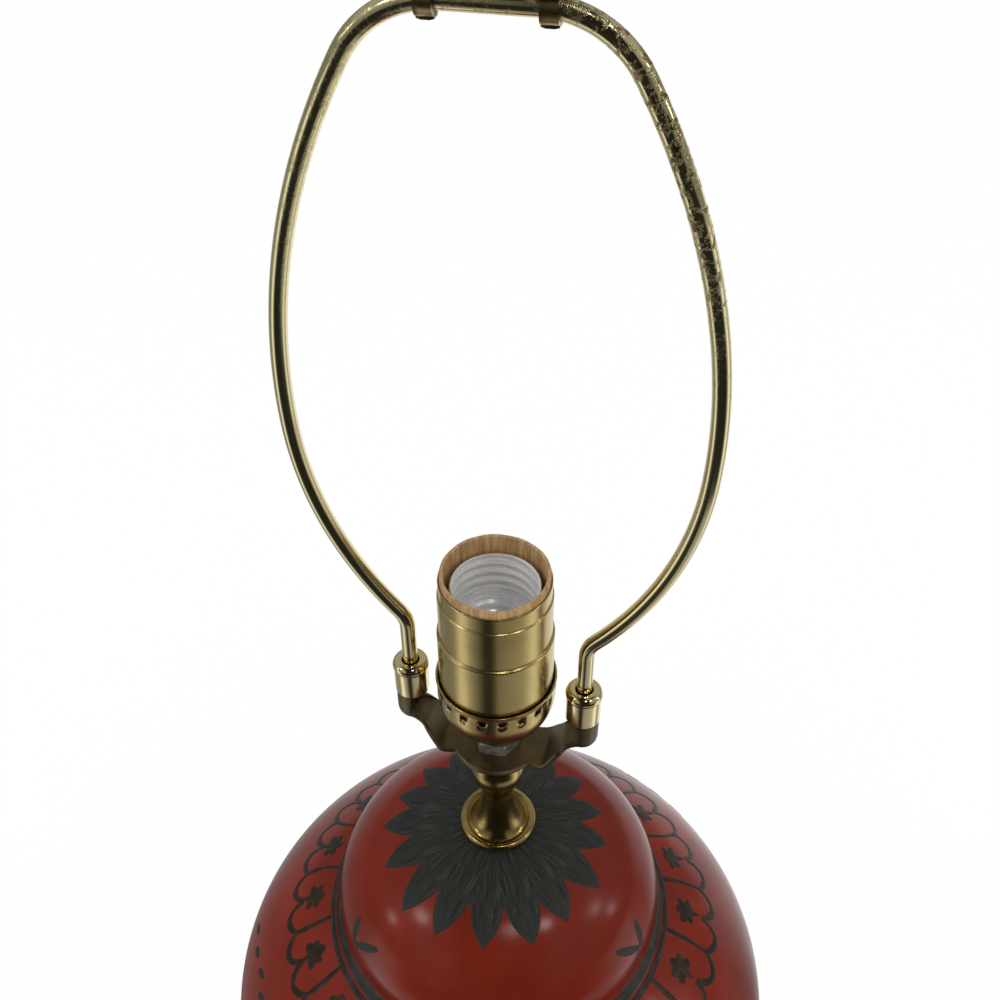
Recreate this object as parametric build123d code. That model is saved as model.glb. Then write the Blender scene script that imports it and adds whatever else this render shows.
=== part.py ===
"""Ginger-jar table lamp, in millimetres, standing on z = 0 with its axis on Z.

From the floor up: rubber pads, turned wooden base, jar, lid, brass neck, harp saddle, locknut
and lampholder, all clamped on one hollow rod. The harp stands in the XZ plane, in the
saddle's two prongs, and two sleeves lock its legs. The front of the lamp faces -Y.
"""

import os
from math import acos, atan2, cos, degrees, pi, sqrt, tan

from build123d import *

os.makedirs("parts", exist_ok=True)

# Clearances
rod_gap = 0.1  # fixed pieces round the rod
slip_gap = 0.3  # pieces that slide by hand
shaft_gap = 0.06  # the switch shaft in its bearing
ceramic_gap = 1.2  # the drilled holes of jar and lid round the rod
seat_gap = 0.6  # the jar's foot in the base's recess

# Rod, an eighth-inch lamp pipe
rod_radius = 4.85
rod_bore_radius = 3.1
rod_tail = 2.5  # past the base nut
rod_nose = 5.5  # inside the cap's hub

# Foot pads
pad_count = 4
pad_radius = 6.5
pad_height = 3.5
pad_edge = 0.9

# Turned base
base_rim = 7.8  # wood round the jar's foot
base_height = 28.0
base_plinth = 13.0
base_step = 1.6
base_cove = 6.0
base_bead = 5.0
base_rounding = 1.2
base_pocket_radius = 50.0
base_pocket_depth = 13.0
base_recess = 2.0

# Cord bushing, at the back of the base
bushing_bore = 3.2
bushing_wall = 0.9
bushing_flange = 1.8
bushing_flange_radius = 5.0
bushing_height = 6.5  # its axis over the base's underside
bushing_tail = 1.5

# Clamping hardware under the base
washer_radius = 19.0
washer_thickness = 1.6
star_radius = 8.6
star_thickness = 0.8
star_teeth = 12
star_notch = 1.4
nut_across_flats = 14.3
nut_height = 5.0
nut_chamfer = 0.7

# Jar
foot_radius = 60.0
foot_height = 6.0
foot_ring = 8.0
foot_recess = 4.0
foot_edge = 1.2
jar_radius = 107.7
jar_wall = 5.0
jar_floor = 7.0
belly_height = 168.0  # from the foot to the widest level
belly_flare = 13.0
belly_run = 32.0
belly_fullness = 78.0
shoulder_rise = 79.1  # height of the shoulder's full ellipse
shoulder_wall = 8.0
ledge_radius = 63.0
collar_radius = 53.0
collar_wall = 4.5
collar_height = 12.0
collar_rounding = 1.5

# Lid
lid_rim_radius = 62.7
lid_skirt = 11.8
lid_inner_radius = 54.4
dome_radius = 59.7
dome_rise = 39.5
dome_flat = 8.0
lid_wall = 5.0
lid_edge = 0.8

# Neck
gasket_radius = 11.2
gasket_thickness = 1.0
neck_radius = 13.45
neck_height = 46.0
neck_rim = 2.4
neck_lift = 0.3
neck_recess_gap = 0.4
neck_dish = 11.9
neck_waist_radius = 5.5
neck_waist_height = 18.5
neck_bulb_radius = 8.7
neck_bulb_height = 31.0
neck_collar_radius = 8.3
neck_collar_height = 4.6
neck_throat_radius = 7.0

# Harp saddle
saddle_thickness = 1.8
saddle_disc_radius = 14.0
saddle_waist = 7.8  # half width where the disc meets the arms
saddle_waist_at = 13.0
saddle_lobe = 8.5  # half width of the arms' lobes
saddle_lobe_at = 18.0
saddle_rise = 8.8
saddle_flat = 17.2  # where the arms turn up, and where they level out again
saddle_level = 23.8
saddle_bend = 2.5
prong_radius = 5.2
prong_heel = 4.4
prong_shoulder = 21.1
prong_tab = 8.5
prong_tab_radius = 4.25
prong_shelf = 1.6
saddle_edge = 0.45

# Locknut over the saddle
locknut_height = 4.8

# Socket cap
cap_wall = 0.6
cap_radius = 18.6
cap_height = 28.0  # from the hub's underside to the rim
cap_hub_radius = 7.6
cap_hub_height = 7.2
cap_side = 6.6
cap_lip = 0.35
cap_window_count = 19
cap_window_width = 2.5
cap_window_height = 2.2
cap_window_drop = 3.5  # from the rim to the windows' middle
cap_window_phase = -71.4
cap_gap = 0.3  # from the locknut to the hub
set_screw_radius = 1.5
set_screw_proud = 1.2
set_screw_slot = 0.6

# Socket shell, in three tiers
shell_wall = 0.45
shell_insert = 2.4
shell_low_radius = 17.75
shell_mid_radius = 17.15
shell_top_radius = 16.75
shell_low_height = 22.6
shell_mid_height = 15.4
shell_top_height = 5.5
shell_shoulder = 2.6
shell_step = 0.9
shell_curl = 0.3

# Card liner
liner_gap = 0.1
liner_wall = 1.15
liner_proud = 2.6
liner_length = 42.0

# Insulating blocks
block_gap = 0.2
block_low_height = 6.0
block_top_height = 13.4
block_drop = 2.2  # from the liner's lower end down to the lower block's underside
block_flat = 12.8
block_flat_width = 9.0
pedestal_radius = 5.4
pedestal_height = 1.2
rivet_radius = 1.2
rivet_circle = 9.0
rivet_turn = 45.0  # clear of the shaft and of the terminal screws
rivet_head_radius = 2.0
rivet_head = 0.7
rotor_radius = 3.4
rotor_length = 4.0

# Screw shell for an E26 bulb
thread_minor_radius = 12.45
thread_major_radius = 13.2
thread_pitch = 3.63
thread_turns = 4
screw_shell_wall = 0.35
screw_shell_flange = 7.0
screw_shell_skirt = 5.0  # plain stretch under the thread, clear of the centre contact

# Centre contact
contact_width = 5.0
contact_thickness = 0.5
contact_length = 9.0
contact_rise = 2.2

# Terminal screws
terminal_radius = 1.5
terminal_head_radius = 2.5
terminal_head = 1.3
terminal_length = 5.0

# Switch
switch_shaft_radius = 1.9
switch_slot_gap = 1.6
switch_reach = 16.0  # from the shell out to the knob's end
knob_radius = 5.6
knob_length = 12.5
knob_thickness = 6.4
knob_depth = 8.0
knob_rounding = 1.6

# Harp
wire_radius = 2.38
leg_spread = 27.8
leg_height = 28.3  # straight leg, over the prong's shoulder
leg_bend_radius = 10.1
leg_bend = 40.2
flank_low_radius = 111.4
flank_low_turn = 37.2
flank_high_radius = 181.0
flank_high_turn = 33.2
harp_corner_radius = 25.1
toe_radius = 3.5
toe_height = 2.4
toe_offset = 0.6

# Sleeves that lock the harp's legs
ferrule_length = 13.3
ferrule_radius = 5.8
ferrule_body_radius = 5.45
ferrule_bead = 3.3
ferrule_roof = 3.4
ferrule_taper = 1.0
ferrule_rounding = 2.2
ferrule_mouth = 0.6
ferrule_edge = 0.35

# Harp bracket
bracket_half_length = 15.3
bracket_half_width = 4.4
bracket_disc_radius = 7.8
bracket_thickness = 1.3
bracket_arch = 2.2
bracket_arch_foot = 9.6
bracket_arch_top = 6.6
ear_gap = 0.07
ear_wall = 1.2
ear_width = 3.9
ear_spread = 12.7
ear_seam = 0.5
ear_lip = 2.2
ear_lip_thickness = 1.1

# Finial stud, quarter-inch thread
stud_radius = 3.175
stud_length = 10.0
stud_flange_radius = 5.2
stud_flange = 1.4
stud_tail_radius = 2.4
stud_head_radius = 3.6
stud_head = 1.1
stud_chamfer = 0.6

# Levels up the stack
base_low = pad_height
base_top = base_low + base_height
pocket_roof = base_low + base_pocket_depth
foot_low = base_top - base_recess
widest = foot_low + belly_height
ledge = widest + shoulder_rise * sqrt(1 - (ledge_radius / jar_radius) ** 2)
lid_top = ledge + lid_skirt + dome_rise
neck_low = lid_top + neck_lift
neck_top = lid_top + neck_height
saddle_low = neck_top
saddle_top = saddle_low + saddle_thickness
locknut_top = saddle_top + locknut_height
hub_low = locknut_top + cap_gap
hub_top = hub_low + cap_hub_height
cap_rim = hub_low + cap_height
shell_low = cap_rim - shell_insert
shell_shoulder_top = shell_low + shell_low_height
shell_mid_top = shell_shoulder_top + shell_mid_height
shell_top = shell_mid_top + shell_top_height
liner_top = shell_top + liner_proud
liner_low = liner_top - liner_length
block_low = liner_low - block_drop
switch_level = block_low + block_low_height
block_top = switch_level + block_top_height
shoulder_level = saddle_low + prong_shoulder
prong_top = shoulder_level + prong_tab

# Radii that follow from their neighbours
base_waist = foot_radius + seat_gap + base_rim
base_radius = base_waist + base_cove + base_step
pad_circle = (base_pocket_radius + base_radius) / 2
rod_hole = rod_radius + rod_gap
ceramic_hole = rod_radius + ceramic_gap
liner_radius = shell_top_radius - shell_wall - liner_gap
liner_inner_radius = liner_radius - liner_wall
block_radius = liner_inner_radius - block_gap
cap_inner_radius = cap_radius - cap_wall
prong_bore = wire_radius + slip_gap
ferrule_bore = prong_tab_radius + slip_gap
ferrule_hole = wire_radius + slip_gap


def turned(*lines):
    """A closed outline of lines in (radius, height), turned about the lamp's axis."""
    return revolve(Plane.XZ * make_face(Curve() + list(lines)), Axis.Z)


def turned_corners(*corners):
    """A turned solid from corners (radius, height) or (radius, height, rounding)."""
    points = [corner[:2] for corner in corners]
    rounding = [corner[2] if len(corner) > 2 else 0 for corner in corners]
    return turned(FilletPolyline(*points, radius=rounding, close=True))


def disc(radius, low, high, hole=0):
    """A round plate or tube between two levels on the lamp's axis."""
    body = Pos(0, 0, low) * Cylinder(radius, high - low, align=(Align.CENTER, Align.CENTER, Align.MIN))
    if hole:
        body -= Pos(0, 0, low) * Cylinder(hole, high - low, align=(Align.CENTER, Align.CENTER, Align.MIN))
    return body


def rod_along_y(radius, near, far, level):
    """A round bar along Y at a level over the floor."""
    bar = Cylinder(radius, far - near, align=(Align.CENTER, Align.CENTER, Align.MIN))
    return Pos(0, near, level) * Rot(-90, 0, 0) * bar


def hex_nut(low, height):
    """A hex nut on the rod, its corners chamfered on both faces."""
    corner_radius = nut_across_flats / 2 / cos(pi / 6)
    flats = extrude(RegularPolygon(nut_across_flats / 2, 6, major_radius=False), height)
    cone = turned_corners(
        (0, 0),
        (corner_radius - nut_chamfer, 0),
        (corner_radius, nut_chamfer / 2),
        (corner_radius, height - nut_chamfer / 2),
        (corner_radius - nut_chamfer, height),
        (0, height),
    )
    hole = Cylinder(rod_hole, height, align=(Align.CENTER, Align.CENTER, Align.MIN))
    return Pos(0, 0, low) * ((flats & cone) - hole)


def foot_pads():
    """Rubber bumpers under the base, tapered and rounded where they meet the floor."""
    pad = turned_corners(
        (0, 0),
        (pad_radius - pad_edge, 0, pad_edge / 2),
        (pad_radius, pad_height),
        (0, pad_height),
    )
    return Part() + PolarLocations(pad_circle, pad_count, start_angle=180 / pad_count) * pad


def wood_base():
    """Turned base: plinth, cove and bead, a pocket below and a recess for the jar above."""
    plinth_top = base_low + base_plinth
    waist = base_waist
    cove_top = plinth_top + base_cove
    bead_top = cove_top + base_bead
    rim = foot_radius + seat_gap
    body = turned(
        Line((rod_hole, foot_low), (rod_hole, pocket_roof)),
        Line((rod_hole, pocket_roof), (base_pocket_radius, pocket_roof)),
        Line((base_pocket_radius, pocket_roof), (base_pocket_radius, base_low)),
        FilletPolyline(
            (base_pocket_radius, base_low),
            (base_radius, base_low),
            (base_radius, plinth_top),
            (waist + base_cove, plinth_top),
            radius=[base_rounding, base_rounding],
        ),
        CenterArc((waist + base_cove, cove_top), base_cove, 270, -90),
        CenterArc((waist, cove_top + base_bead / 2), base_bead / 2, -90, 180),
        FilletPolyline(
            (waist, bead_top), (waist, base_top), (rim, base_top), radius=[base_rounding]
        ),
        Line((rim, base_top), (rim, foot_low)),
        Line((rim, foot_low), (rod_hole, foot_low)),
    )
    level = base_low + bushing_height
    hole = rod_along_y(bushing_bore + bushing_wall + rod_gap, 0, base_radius + base_step, level)
    spot = rod_along_y(
        bushing_flange_radius + rod_gap, base_radius - bushing_flange, base_radius + base_step, level
    )
    return body - (hole - disc(base_pocket_radius - base_step, base_low, base_top)) - spot


def cord_bushing():
    """Inlet for the cord: a flanged sleeve through the base's back wall."""
    level = base_low + bushing_height
    seat = base_radius - bushing_flange
    sleeve = rod_along_y(bushing_bore + bushing_wall, base_pocket_radius - bushing_tail, seat, level)
    flange = rod_along_y(bushing_flange_radius, seat, base_radius, level)
    flange = fillet(flange.edges().group_by(Axis.Y)[-1], bushing_flange / 3)
    bore = rod_along_y(bushing_bore, base_pocket_radius - 2 * bushing_tail, base_radius + 1, level)
    return sleeve + flange - bore


def base_washer():
    """Plain steel washer against the roof of the base's pocket."""
    return disc(washer_radius, pocket_roof - washer_thickness, pocket_roof, rod_hole)


def base_lock_washer():
    """Star washer, toothed on its outside."""
    top = pocket_roof - washer_thickness
    ring = disc(star_radius, top - star_thickness, top, rod_hole)
    notch = Pos(0, 0, top - star_thickness / 2) * Box(star_notch, star_notch, 2 * star_thickness)
    return ring - PolarLocations(star_radius, star_teeth) * notch


def base_nut():
    """The nut that clamps the whole stack."""
    return hex_nut(pocket_roof - washer_thickness - star_thickness - nut_height, nut_height)


def lamp_rod():
    """Hollow rod from under the base nut up into the socket cap's hub."""
    low = pocket_roof - washer_thickness - star_thickness - nut_height - rod_tail
    return disc(rod_radius, low, hub_low + rod_nose, rod_bore_radius)


def jar_belly(inset, low, rise):
    """Lower side of the jar, from its foot up to its widest level."""
    foot = foot_radius - foot_edge - inset
    return Bezier(
        (foot, low),
        (foot + belly_flare, low + belly_run),
        (jar_radius - inset, widest - belly_fullness - rise),
        (jar_radius - inset, widest),
    )


def jar_shoulder(radius, rise, inner_radius):
    """Shoulder of the jar, a quarter of an ellipse that stops at inner_radius."""
    turn = degrees(acos(inner_radius / radius))
    return EllipticalCenterArc((0, widest), radius, rise, 0, arc_size=turn)


def jar_body():
    """Ceramic jar with a foot ring, a full shoulder, a ledge for the lid and a short collar."""
    floor_low = foot_low + foot_recess
    floor_top = floor_low + jar_floor
    collar_inner = collar_radius - collar_wall
    outside = jar_belly(0, foot_low + foot_height, 0)
    inside = jar_belly(jar_wall, floor_top, 0)
    shoulder = jar_shoulder(jar_radius, shoulder_rise, ledge_radius)
    vault = jar_shoulder(jar_radius - jar_wall, shoulder_rise - shoulder_wall, collar_inner)
    return turned(
        FilletPolyline(
            (ceramic_hole, floor_top),
            (ceramic_hole, floor_low),
            (foot_radius - foot_ring, floor_low),
            (foot_radius - foot_ring, foot_low),
            (foot_radius, foot_low),
            (foot_radius, foot_low + foot_height),
            outside @ 0,
            radius=[0, foot_edge, foot_edge, foot_edge, 0],
        ),
        outside,
        shoulder,
        FilletPolyline(
            shoulder @ 1,
            (collar_radius, ledge),
            (collar_radius, ledge + collar_height),
            (collar_inner, ledge + collar_height),
            vault @ 1,
            radius=[0, collar_rounding, collar_rounding],
        ),
        vault,
        inside,
        Line(inside @ 0, (ceramic_hole, floor_top)),
    )


def jar_lid():
    """Domed ceramic lid that stands on the jar's ledge, its skirt round the collar."""
    spring = ledge + lid_skirt
    dome = EllipticalCenterArc((dome_flat, spring), dome_radius - dome_flat, dome_rise, 0, arc_size=90)
    vault = EllipticalCenterArc(
        (dome_flat, spring), lid_inner_radius - dome_flat, dome_rise - lid_wall, 0, arc_size=90
    )
    return turned(
        FilletPolyline(
            vault @ 0,
            (lid_inner_radius, ledge),
            (lid_rim_radius, ledge),
            dome @ 0,
            radius=[lid_edge, lid_edge],
        ),
        dome,
        Line(dome @ 1, (ceramic_hole, lid_top)),
        Line((ceramic_hole, lid_top), (ceramic_hole, lid_top - lid_wall)),
        Line((ceramic_hole, lid_top - lid_wall), vault @ 1),
        vault,
    )


def neck_gasket():
    """Rubber washer between the neck and the lid's glaze."""
    return disc(gasket_radius, lid_top, lid_top + gasket_thickness, rod_hole)


def trumpet_neck():
    """Turned brass neck: rolled foot, dished trumpet, waist, bulb and collar."""
    rim = neck_rim / 2
    recess = gasket_radius + neck_recess_gap
    roof = lid_top + gasket_thickness
    rolled = CenterArc((neck_radius - rim, neck_low + rim), rim, -90, 180)
    trumpet_low = (neck_dish, neck_low + neck_rim)
    waist = (neck_waist_radius, neck_low + neck_waist_height)
    bulb = (neck_bulb_radius, neck_low + neck_bulb_height)
    throat = (neck_throat_radius, neck_top - neck_collar_height)
    dish = neck_dish - neck_waist_radius
    swell = neck_bulb_radius - neck_waist_radius
    rise = bulb[1] - waist[1]
    fall = throat[1] - bulb[1]
    return turned(
        Line((recess, neck_low), rolled @ 0),
        rolled,
        Line(rolled @ 1, trumpet_low),
        Bezier(
            trumpet_low,
            (neck_waist_radius + 0.48 * dish, neck_low + neck_rim + 0.1 * neck_waist_height),
            (neck_waist_radius, neck_low + 0.56 * neck_waist_height),
            waist,
        ),
        Bezier(
            waist,
            (neck_waist_radius, waist[1] + 0.44 * rise),
            (neck_bulb_radius - 0.14 * swell, bulb[1] - 0.44 * rise),
            bulb,
        ),
        Bezier(
            bulb,
            (neck_bulb_radius + 0.1 * swell, bulb[1] + 0.4 * fall),
            (neck_throat_radius, throat[1] - 0.4 * fall),
            throat,
        ),
        FilletPolyline(
            throat,
            (neck_collar_radius, throat[1] + neck_rim / 4),
            (neck_collar_radius, neck_top),
            (rod_hole, neck_top),
            (rod_hole, roof),
            (recess, roof),
            (recess, neck_low),
            radius=[neck_rim / 4, neck_rim / 4, 0, 0, 0],
        ),
    )


def saddle_outline():
    """Plan of the saddle: middle disc, waists and lobed arms, up to the prongs' middle."""
    taper = (leg_spread + saddle_lobe_at) / 2
    arm = [
        (saddle_waist_at, saddle_waist),
        (saddle_lobe_at, saddle_lobe),
        (taper, (saddle_lobe + prong_radius) / 2 - saddle_edge),
        (leg_spread, prong_radius),
    ]
    edge = Spline(*arm, tangents=[(1, 0), (1, 0)])
    back = mirror(edge, Plane.XZ)
    side = make_face(Curve() + [edge, Line(edge @ 1, back @ 1), back, Line(back @ 0, edge @ 0)])
    disc_part = Circle(saddle_disc_radius)
    bridge = Rectangle(2 * saddle_waist_at, 2 * saddle_waist)
    return disc_part + bridge + side + mirror(side, Plane.YZ)


def prong(side):
    """One upturned prong: a half-round channel on a round heel, a shelf and a narrower tab."""
    root = saddle_low + saddle_rise
    shelf = shoulder_level - prong_shelf
    channel = prong_radius - saddle_thickness
    whole = turned_corners(
        (0, root),
        (prong_radius, root, prong_heel),
        (prong_radius, shoulder_level),
        (prong_tab_radius, shoulder_level),
        (prong_tab_radius, prong_top),
        (prong_bore, prong_top),
        (prong_bore, shoulder_level),
        (0, shoulder_level),
        (0, shelf),
        (channel, shelf),
        (channel, root + saddle_thickness, prong_heel - saddle_thickness),
        (0, root + saddle_thickness),
    )
    outer_half = Pos(0, -prong_radius, root) * Box(
        prong_radius, 2 * prong_radius, prong_top - root, align=(Align.MIN, Align.MIN, Align.MIN)
    )
    return Pos(side * leg_spread, 0, 0) * Rot(0, 0, 0 if side > 0 else 180) * (whole & outer_half)


def saddle_line(shift, level, first, second):
    """Edge of the saddle's profile: flat middle, an arm turned up at each side, level ends."""
    half = [
        (leg_spread, level + saddle_rise),
        (saddle_level - shift, level + saddle_rise),
        (saddle_flat - shift, level),
    ]
    mirrored = [(-x, z) for x, z in half]
    return FilletPolyline(*mirrored, *half[::-1], radius=[first, second, second, first])


def harp_saddle():
    """Stamped saddle: lobed plate, its arms turned up to two half-round prongs."""
    slope = atan2(saddle_rise, saddle_level - saddle_flat)
    shift = saddle_thickness * tan(slope / 2)
    outer_bend = saddle_bend + saddle_thickness
    under = saddle_line(0, saddle_low, saddle_bend, outer_bend)
    over = saddle_line(shift, saddle_top, outer_bend, saddle_bend)
    profile = make_face(Curve() + [under, Line(under @ 1, over @ 1), over, Line(over @ 0, under @ 0)])
    strip = extrude(Plane.XZ * profile, saddle_disc_radius + saddle_edge, both=True)
    plan = extrude(Pos(0, 0, saddle_low - 1) * saddle_outline(), saddle_rise + saddle_thickness + 2)
    plate = strip & plan
    body = plate + prong(1) + prong(-1)
    return body - disc(rod_hole, saddle_low - 1, saddle_top + 1)


def saddle_locknut():
    """Hex nut that clamps the saddle on the neck."""
    return hex_nut(saddle_top, locknut_height)


def socket_cap():
    """Bowl of the lampholder: hub on the rod, round bowl and a rim pierced by small windows."""
    floor = hub_top
    side = cap_rim - cap_side
    depth = side - floor
    outside = Bezier(
        (cap_hub_radius, floor),
        (cap_hub_radius + 0.58 * (cap_radius - cap_hub_radius), floor),
        (cap_radius, side - 0.6 * depth),
        (cap_radius, side),
    )
    inside = Bezier(
        (cap_hub_radius, floor + cap_wall),
        (cap_hub_radius + 0.58 * (cap_inner_radius - cap_hub_radius), floor + cap_wall),
        (cap_inner_radius, side - 0.6 * depth),
        (cap_inner_radius, side),
    )
    bowl = turned(
        Line((rod_hole, hub_low), (cap_hub_radius, hub_low)),
        Line((cap_hub_radius, hub_low), outside @ 0),
        outside,
        FilletPolyline(
            outside @ 1,
            (cap_radius, cap_rim - 2 * cap_lip),
            (cap_radius + cap_lip, cap_rim),
            (cap_inner_radius + cap_lip, cap_rim),
            (cap_inner_radius, cap_rim - 2 * cap_lip),
            inside @ 1,
            radius=[cap_lip, 0, 0, cap_lip],
        ),
        inside,
        Line(inside @ 0, (rod_hole, floor + cap_wall)),
        Line((rod_hole, floor + cap_wall), (rod_hole, hub_low)),
    )
    window = Pos(0, 0, cap_rim - cap_window_drop) * Box(
        4 * cap_wall, cap_window_width, cap_window_height
    )
    windows = PolarLocations(cap_radius - cap_wall / 2, cap_window_count, cap_window_phase) * window
    screw_hole = rod_along_y(set_screw_radius + rod_gap, 0, cap_radius, hub_low + cap_hub_height / 2)
    screw_hole -= disc(rod_radius, hub_low, hub_top)
    return bowl - windows - screw_hole


def cap_set_screw():
    """Slotted screw that locks the cap on the rod, at the back of its hub."""
    level = hub_low + cap_hub_height / 2
    end = cap_hub_radius + set_screw_proud
    screw = rod_along_y(set_screw_radius, rod_radius + rod_gap, end, level)
    slot = Pos(0, end, level) * Box(4 * set_screw_radius, set_screw_slot * 2, set_screw_slot)
    return screw - slot


def switch_slot(wall_radius):
    """Slot with a round end, through a wall's back, that lets the switch shaft drop in."""
    half = switch_shaft_radius + switch_slot_gap
    depth = switch_level - shell_low + 1
    straight = Pos(0, 0, switch_level - depth) * Box(
        2 * half, wall_radius + 2, depth, align=(Align.CENTER, Align.MIN, Align.MIN)
    )
    return straight + rod_along_y(half, 0, wall_radius + 2, switch_level)


def socket_shell():
    """Brass shell in three tiers, its top edge curled in over the liner, slotted at the back."""
    waist = shell_shoulder_top - shell_shoulder
    shell = turned_corners(
        (shell_low_radius - shell_wall, shell_low),
        (shell_low_radius, shell_low),
        (shell_low_radius, waist, shell_shoulder / 3),
        (shell_mid_radius, shell_shoulder_top, shell_shoulder / 3),
        (shell_mid_radius, shell_mid_top - shell_step, shell_step / 3),
        (shell_top_radius, shell_mid_top, shell_step / 3),
        (shell_top_radius, shell_top, shell_curl),
        (shell_top_radius - shell_wall, shell_top),
        (shell_top_radius - shell_wall, shell_mid_top, shell_step / 3),
        (shell_mid_radius - shell_wall, shell_mid_top - shell_step, shell_step / 3),
        (shell_mid_radius - shell_wall, shell_shoulder_top, shell_shoulder / 3),
        (shell_low_radius - shell_wall, waist, shell_shoulder / 3),
    )
    return shell - switch_slot(shell_low_radius)


def insulating_liner():
    """Card sleeve between the shell and the live parts, standing proud of the shell."""
    sleeve = turned_corners(
        (liner_inner_radius, liner_low),
        (liner_radius, liner_low),
        (liner_radius, liner_top, liner_wall / 4),
        (liner_inner_radius, liner_top, liner_wall / 4),
    )
    return sleeve - switch_slot(liner_radius)


def terminal_level():
    """Height of the terminal screws, half way up the lower block."""
    return block_low + block_low_height / 2


def side_flats(low, high):
    """The two slices cut off the blocks' sides to seat the terminal screws."""
    slice_part = Pos(block_flat, 0, low) * Box(
        block_radius, block_flat_width, high - low, align=(Align.MIN, Align.CENTER, Align.MIN)
    )
    return slice_part + mirror(slice_part, Plane.YZ)


def rotor_chamber():
    """Bearing and chamber for the switch shaft, along Y where the two blocks meet."""
    bearing = rod_along_y(switch_shaft_radius + shaft_gap, rotor_length, block_radius + 1, switch_level)
    room = rod_along_y(rotor_radius + slip_gap, -slip_gap, rotor_length + slip_gap, switch_level)
    return bearing + room


def rivet_holes(low, high):
    """Holes for the two rivets that hold the blocks together."""
    hole = disc(rivet_radius + shaft_gap, low, high)
    return Part() + PolarLocations(rivet_circle, 2, rivet_turn) * hole


def socket_block_low():
    """Lower insulating block, with the terminal screws' seats."""
    block = disc(block_radius, block_low, switch_level)
    screw_bore = Rot(0, 90, 0) * Cylinder(terminal_radius + shaft_gap, 4 * block_radius)
    block -= side_flats(block_low, switch_level)
    block -= (Pos(0, 0, terminal_level()) * screw_bore) - disc(
        block_flat - terminal_length, block_low, switch_level
    )
    return block - rotor_chamber() - rivet_holes(block_low, switch_level)


def socket_block_top():
    """Upper insulating block, which carries the screw shell and the centre contact."""
    block = disc(block_radius, switch_level, block_top)
    block += disc(pedestal_radius, block_top, block_top + pedestal_height)
    return block - rotor_chamber() - rivet_holes(switch_level, block_top)


def block_rivets():
    """Two brass rivets with flat heads on top of and under the blocks."""
    rivet = disc(rivet_radius, block_low, block_top)
    rivet += disc(rivet_head_radius, block_low - rivet_head, block_low)
    return Part() + PolarLocations(rivet_circle, 2, rivet_turn) * rivet


def screw_shell():
    """Aluminium shell for the bulb: flat crests at the thread's minor radius, round grooves."""
    floor = block_top + screw_shell_wall
    first = floor + screw_shell_skirt
    top = first + thread_turns * thread_pitch
    crest = 0.36 * thread_pitch
    inside = [
        (screw_shell_flange, floor),
        (thread_major_radius, floor),
        (thread_major_radius, first - 1.5 * crest),
        (thread_minor_radius, first - crest),
    ]
    for turn in range(thread_turns):
        groove = first + turn * thread_pitch
        inside += [
            (thread_minor_radius, groove),
            (thread_major_radius, groove + (thread_pitch - crest) * 0.4),
            (thread_major_radius, groove + (thread_pitch - crest) * 0.6),
            (thread_minor_radius, groove + thread_pitch - crest),
        ]
    inside.append((thread_minor_radius, top))
    outside = [(radius + screw_shell_wall, level) for radius, level in inside[1:]]
    outside[0] = (outside[0][0], block_top)
    return turned_corners(*inside, *reversed(outside), (screw_shell_flange, block_top))


def centre_contact():
    """Springy brass strip on the pedestal, bent up towards the bulb's tip."""
    seat = block_top + pedestal_height
    half = contact_length / 2
    under = [(-half, seat), (-half / 4, seat), (half, seat + contact_rise)]
    over = [(x, z + contact_thickness) for x, z in reversed(under)]
    profile = make_face(Polyline(*under, *over, close=True))
    return extrude(Plane.XZ * profile, contact_width / 2, both=True)


def terminal_screws():
    """Two cross-drilled binding screws, one each side of the lower block."""
    align = (Align.CENTER, Align.CENTER, Align.MIN)
    shank = Cylinder(terminal_radius, terminal_length, align=align)
    head = Pos(0, 0, terminal_length) * Cylinder(terminal_head_radius, terminal_head, align=align)
    slot = Pos(0, 0, terminal_length + terminal_head) * Box(
        3 * terminal_head_radius, terminal_head / 2, terminal_head
    )
    screw = Pos(block_flat - terminal_length, 0, terminal_level()) * Rot(0, 90, 0) * (shank + head - slot)
    return screw + Rot(0, 0, 180) * screw


def switch_shaft():
    """Shaft of the turn switch, with its rotor trapped between the blocks."""
    end = shell_low_radius + switch_reach - knob_length + knob_depth
    shaft = rod_along_y(switch_shaft_radius, 0, end, switch_level)
    return shaft + rod_along_y(rotor_radius, 0, rotor_length, switch_level)


def switch_knob():
    """Turn knob at the back: a round collar that flattens into a grip."""
    far = shell_low_radius + switch_reach
    near = far - knob_length
    grip = rod_along_y(knob_radius, near, far, switch_level)
    grip &= Pos(0, near, switch_level) * Box(
        knob_thickness, knob_length, 2 * knob_radius, align=(Align.CENTER, Align.MIN, Align.CENTER)
    )
    grip = fillet(grip.edges().group_by(Axis.Y)[-1], knob_rounding)
    collar = rod_along_y(knob_thickness / 2 + knob_rounding / 2, near, near + knob_length / 3, switch_level)
    bore = rod_along_y(switch_shaft_radius + shaft_gap, near, near + knob_depth, switch_level)
    return grip + collar - bore


def harp_centreline():
    """Half of the harp's centreline in (x, z): leg, bend, two flank arcs, corner, top."""
    start = shoulder_level + slip_gap
    leg = Line((leg_spread, start), (leg_spread, shoulder_level + leg_height))
    bend = JernArc(leg @ 1, leg % 1, leg_bend_radius, -leg_bend)
    low = JernArc(bend @ 1, bend % 1, flank_low_radius, flank_low_turn)
    high = JernArc(low @ 1, low % 1, flank_high_radius, flank_high_turn)
    turn_left = 90 + leg_bend - flank_low_turn - flank_high_turn
    corner = JernArc(high @ 1, high % 1, harp_corner_radius, turn_left)
    top = Line(corner @ 1, (0, (corner @ 1).Y))
    return leg, bend, low, high, corner, top


def harp_level():
    """Height of the middle of the harp's top wire."""
    return (harp_centreline()[-1] @ 1).Y


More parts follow.
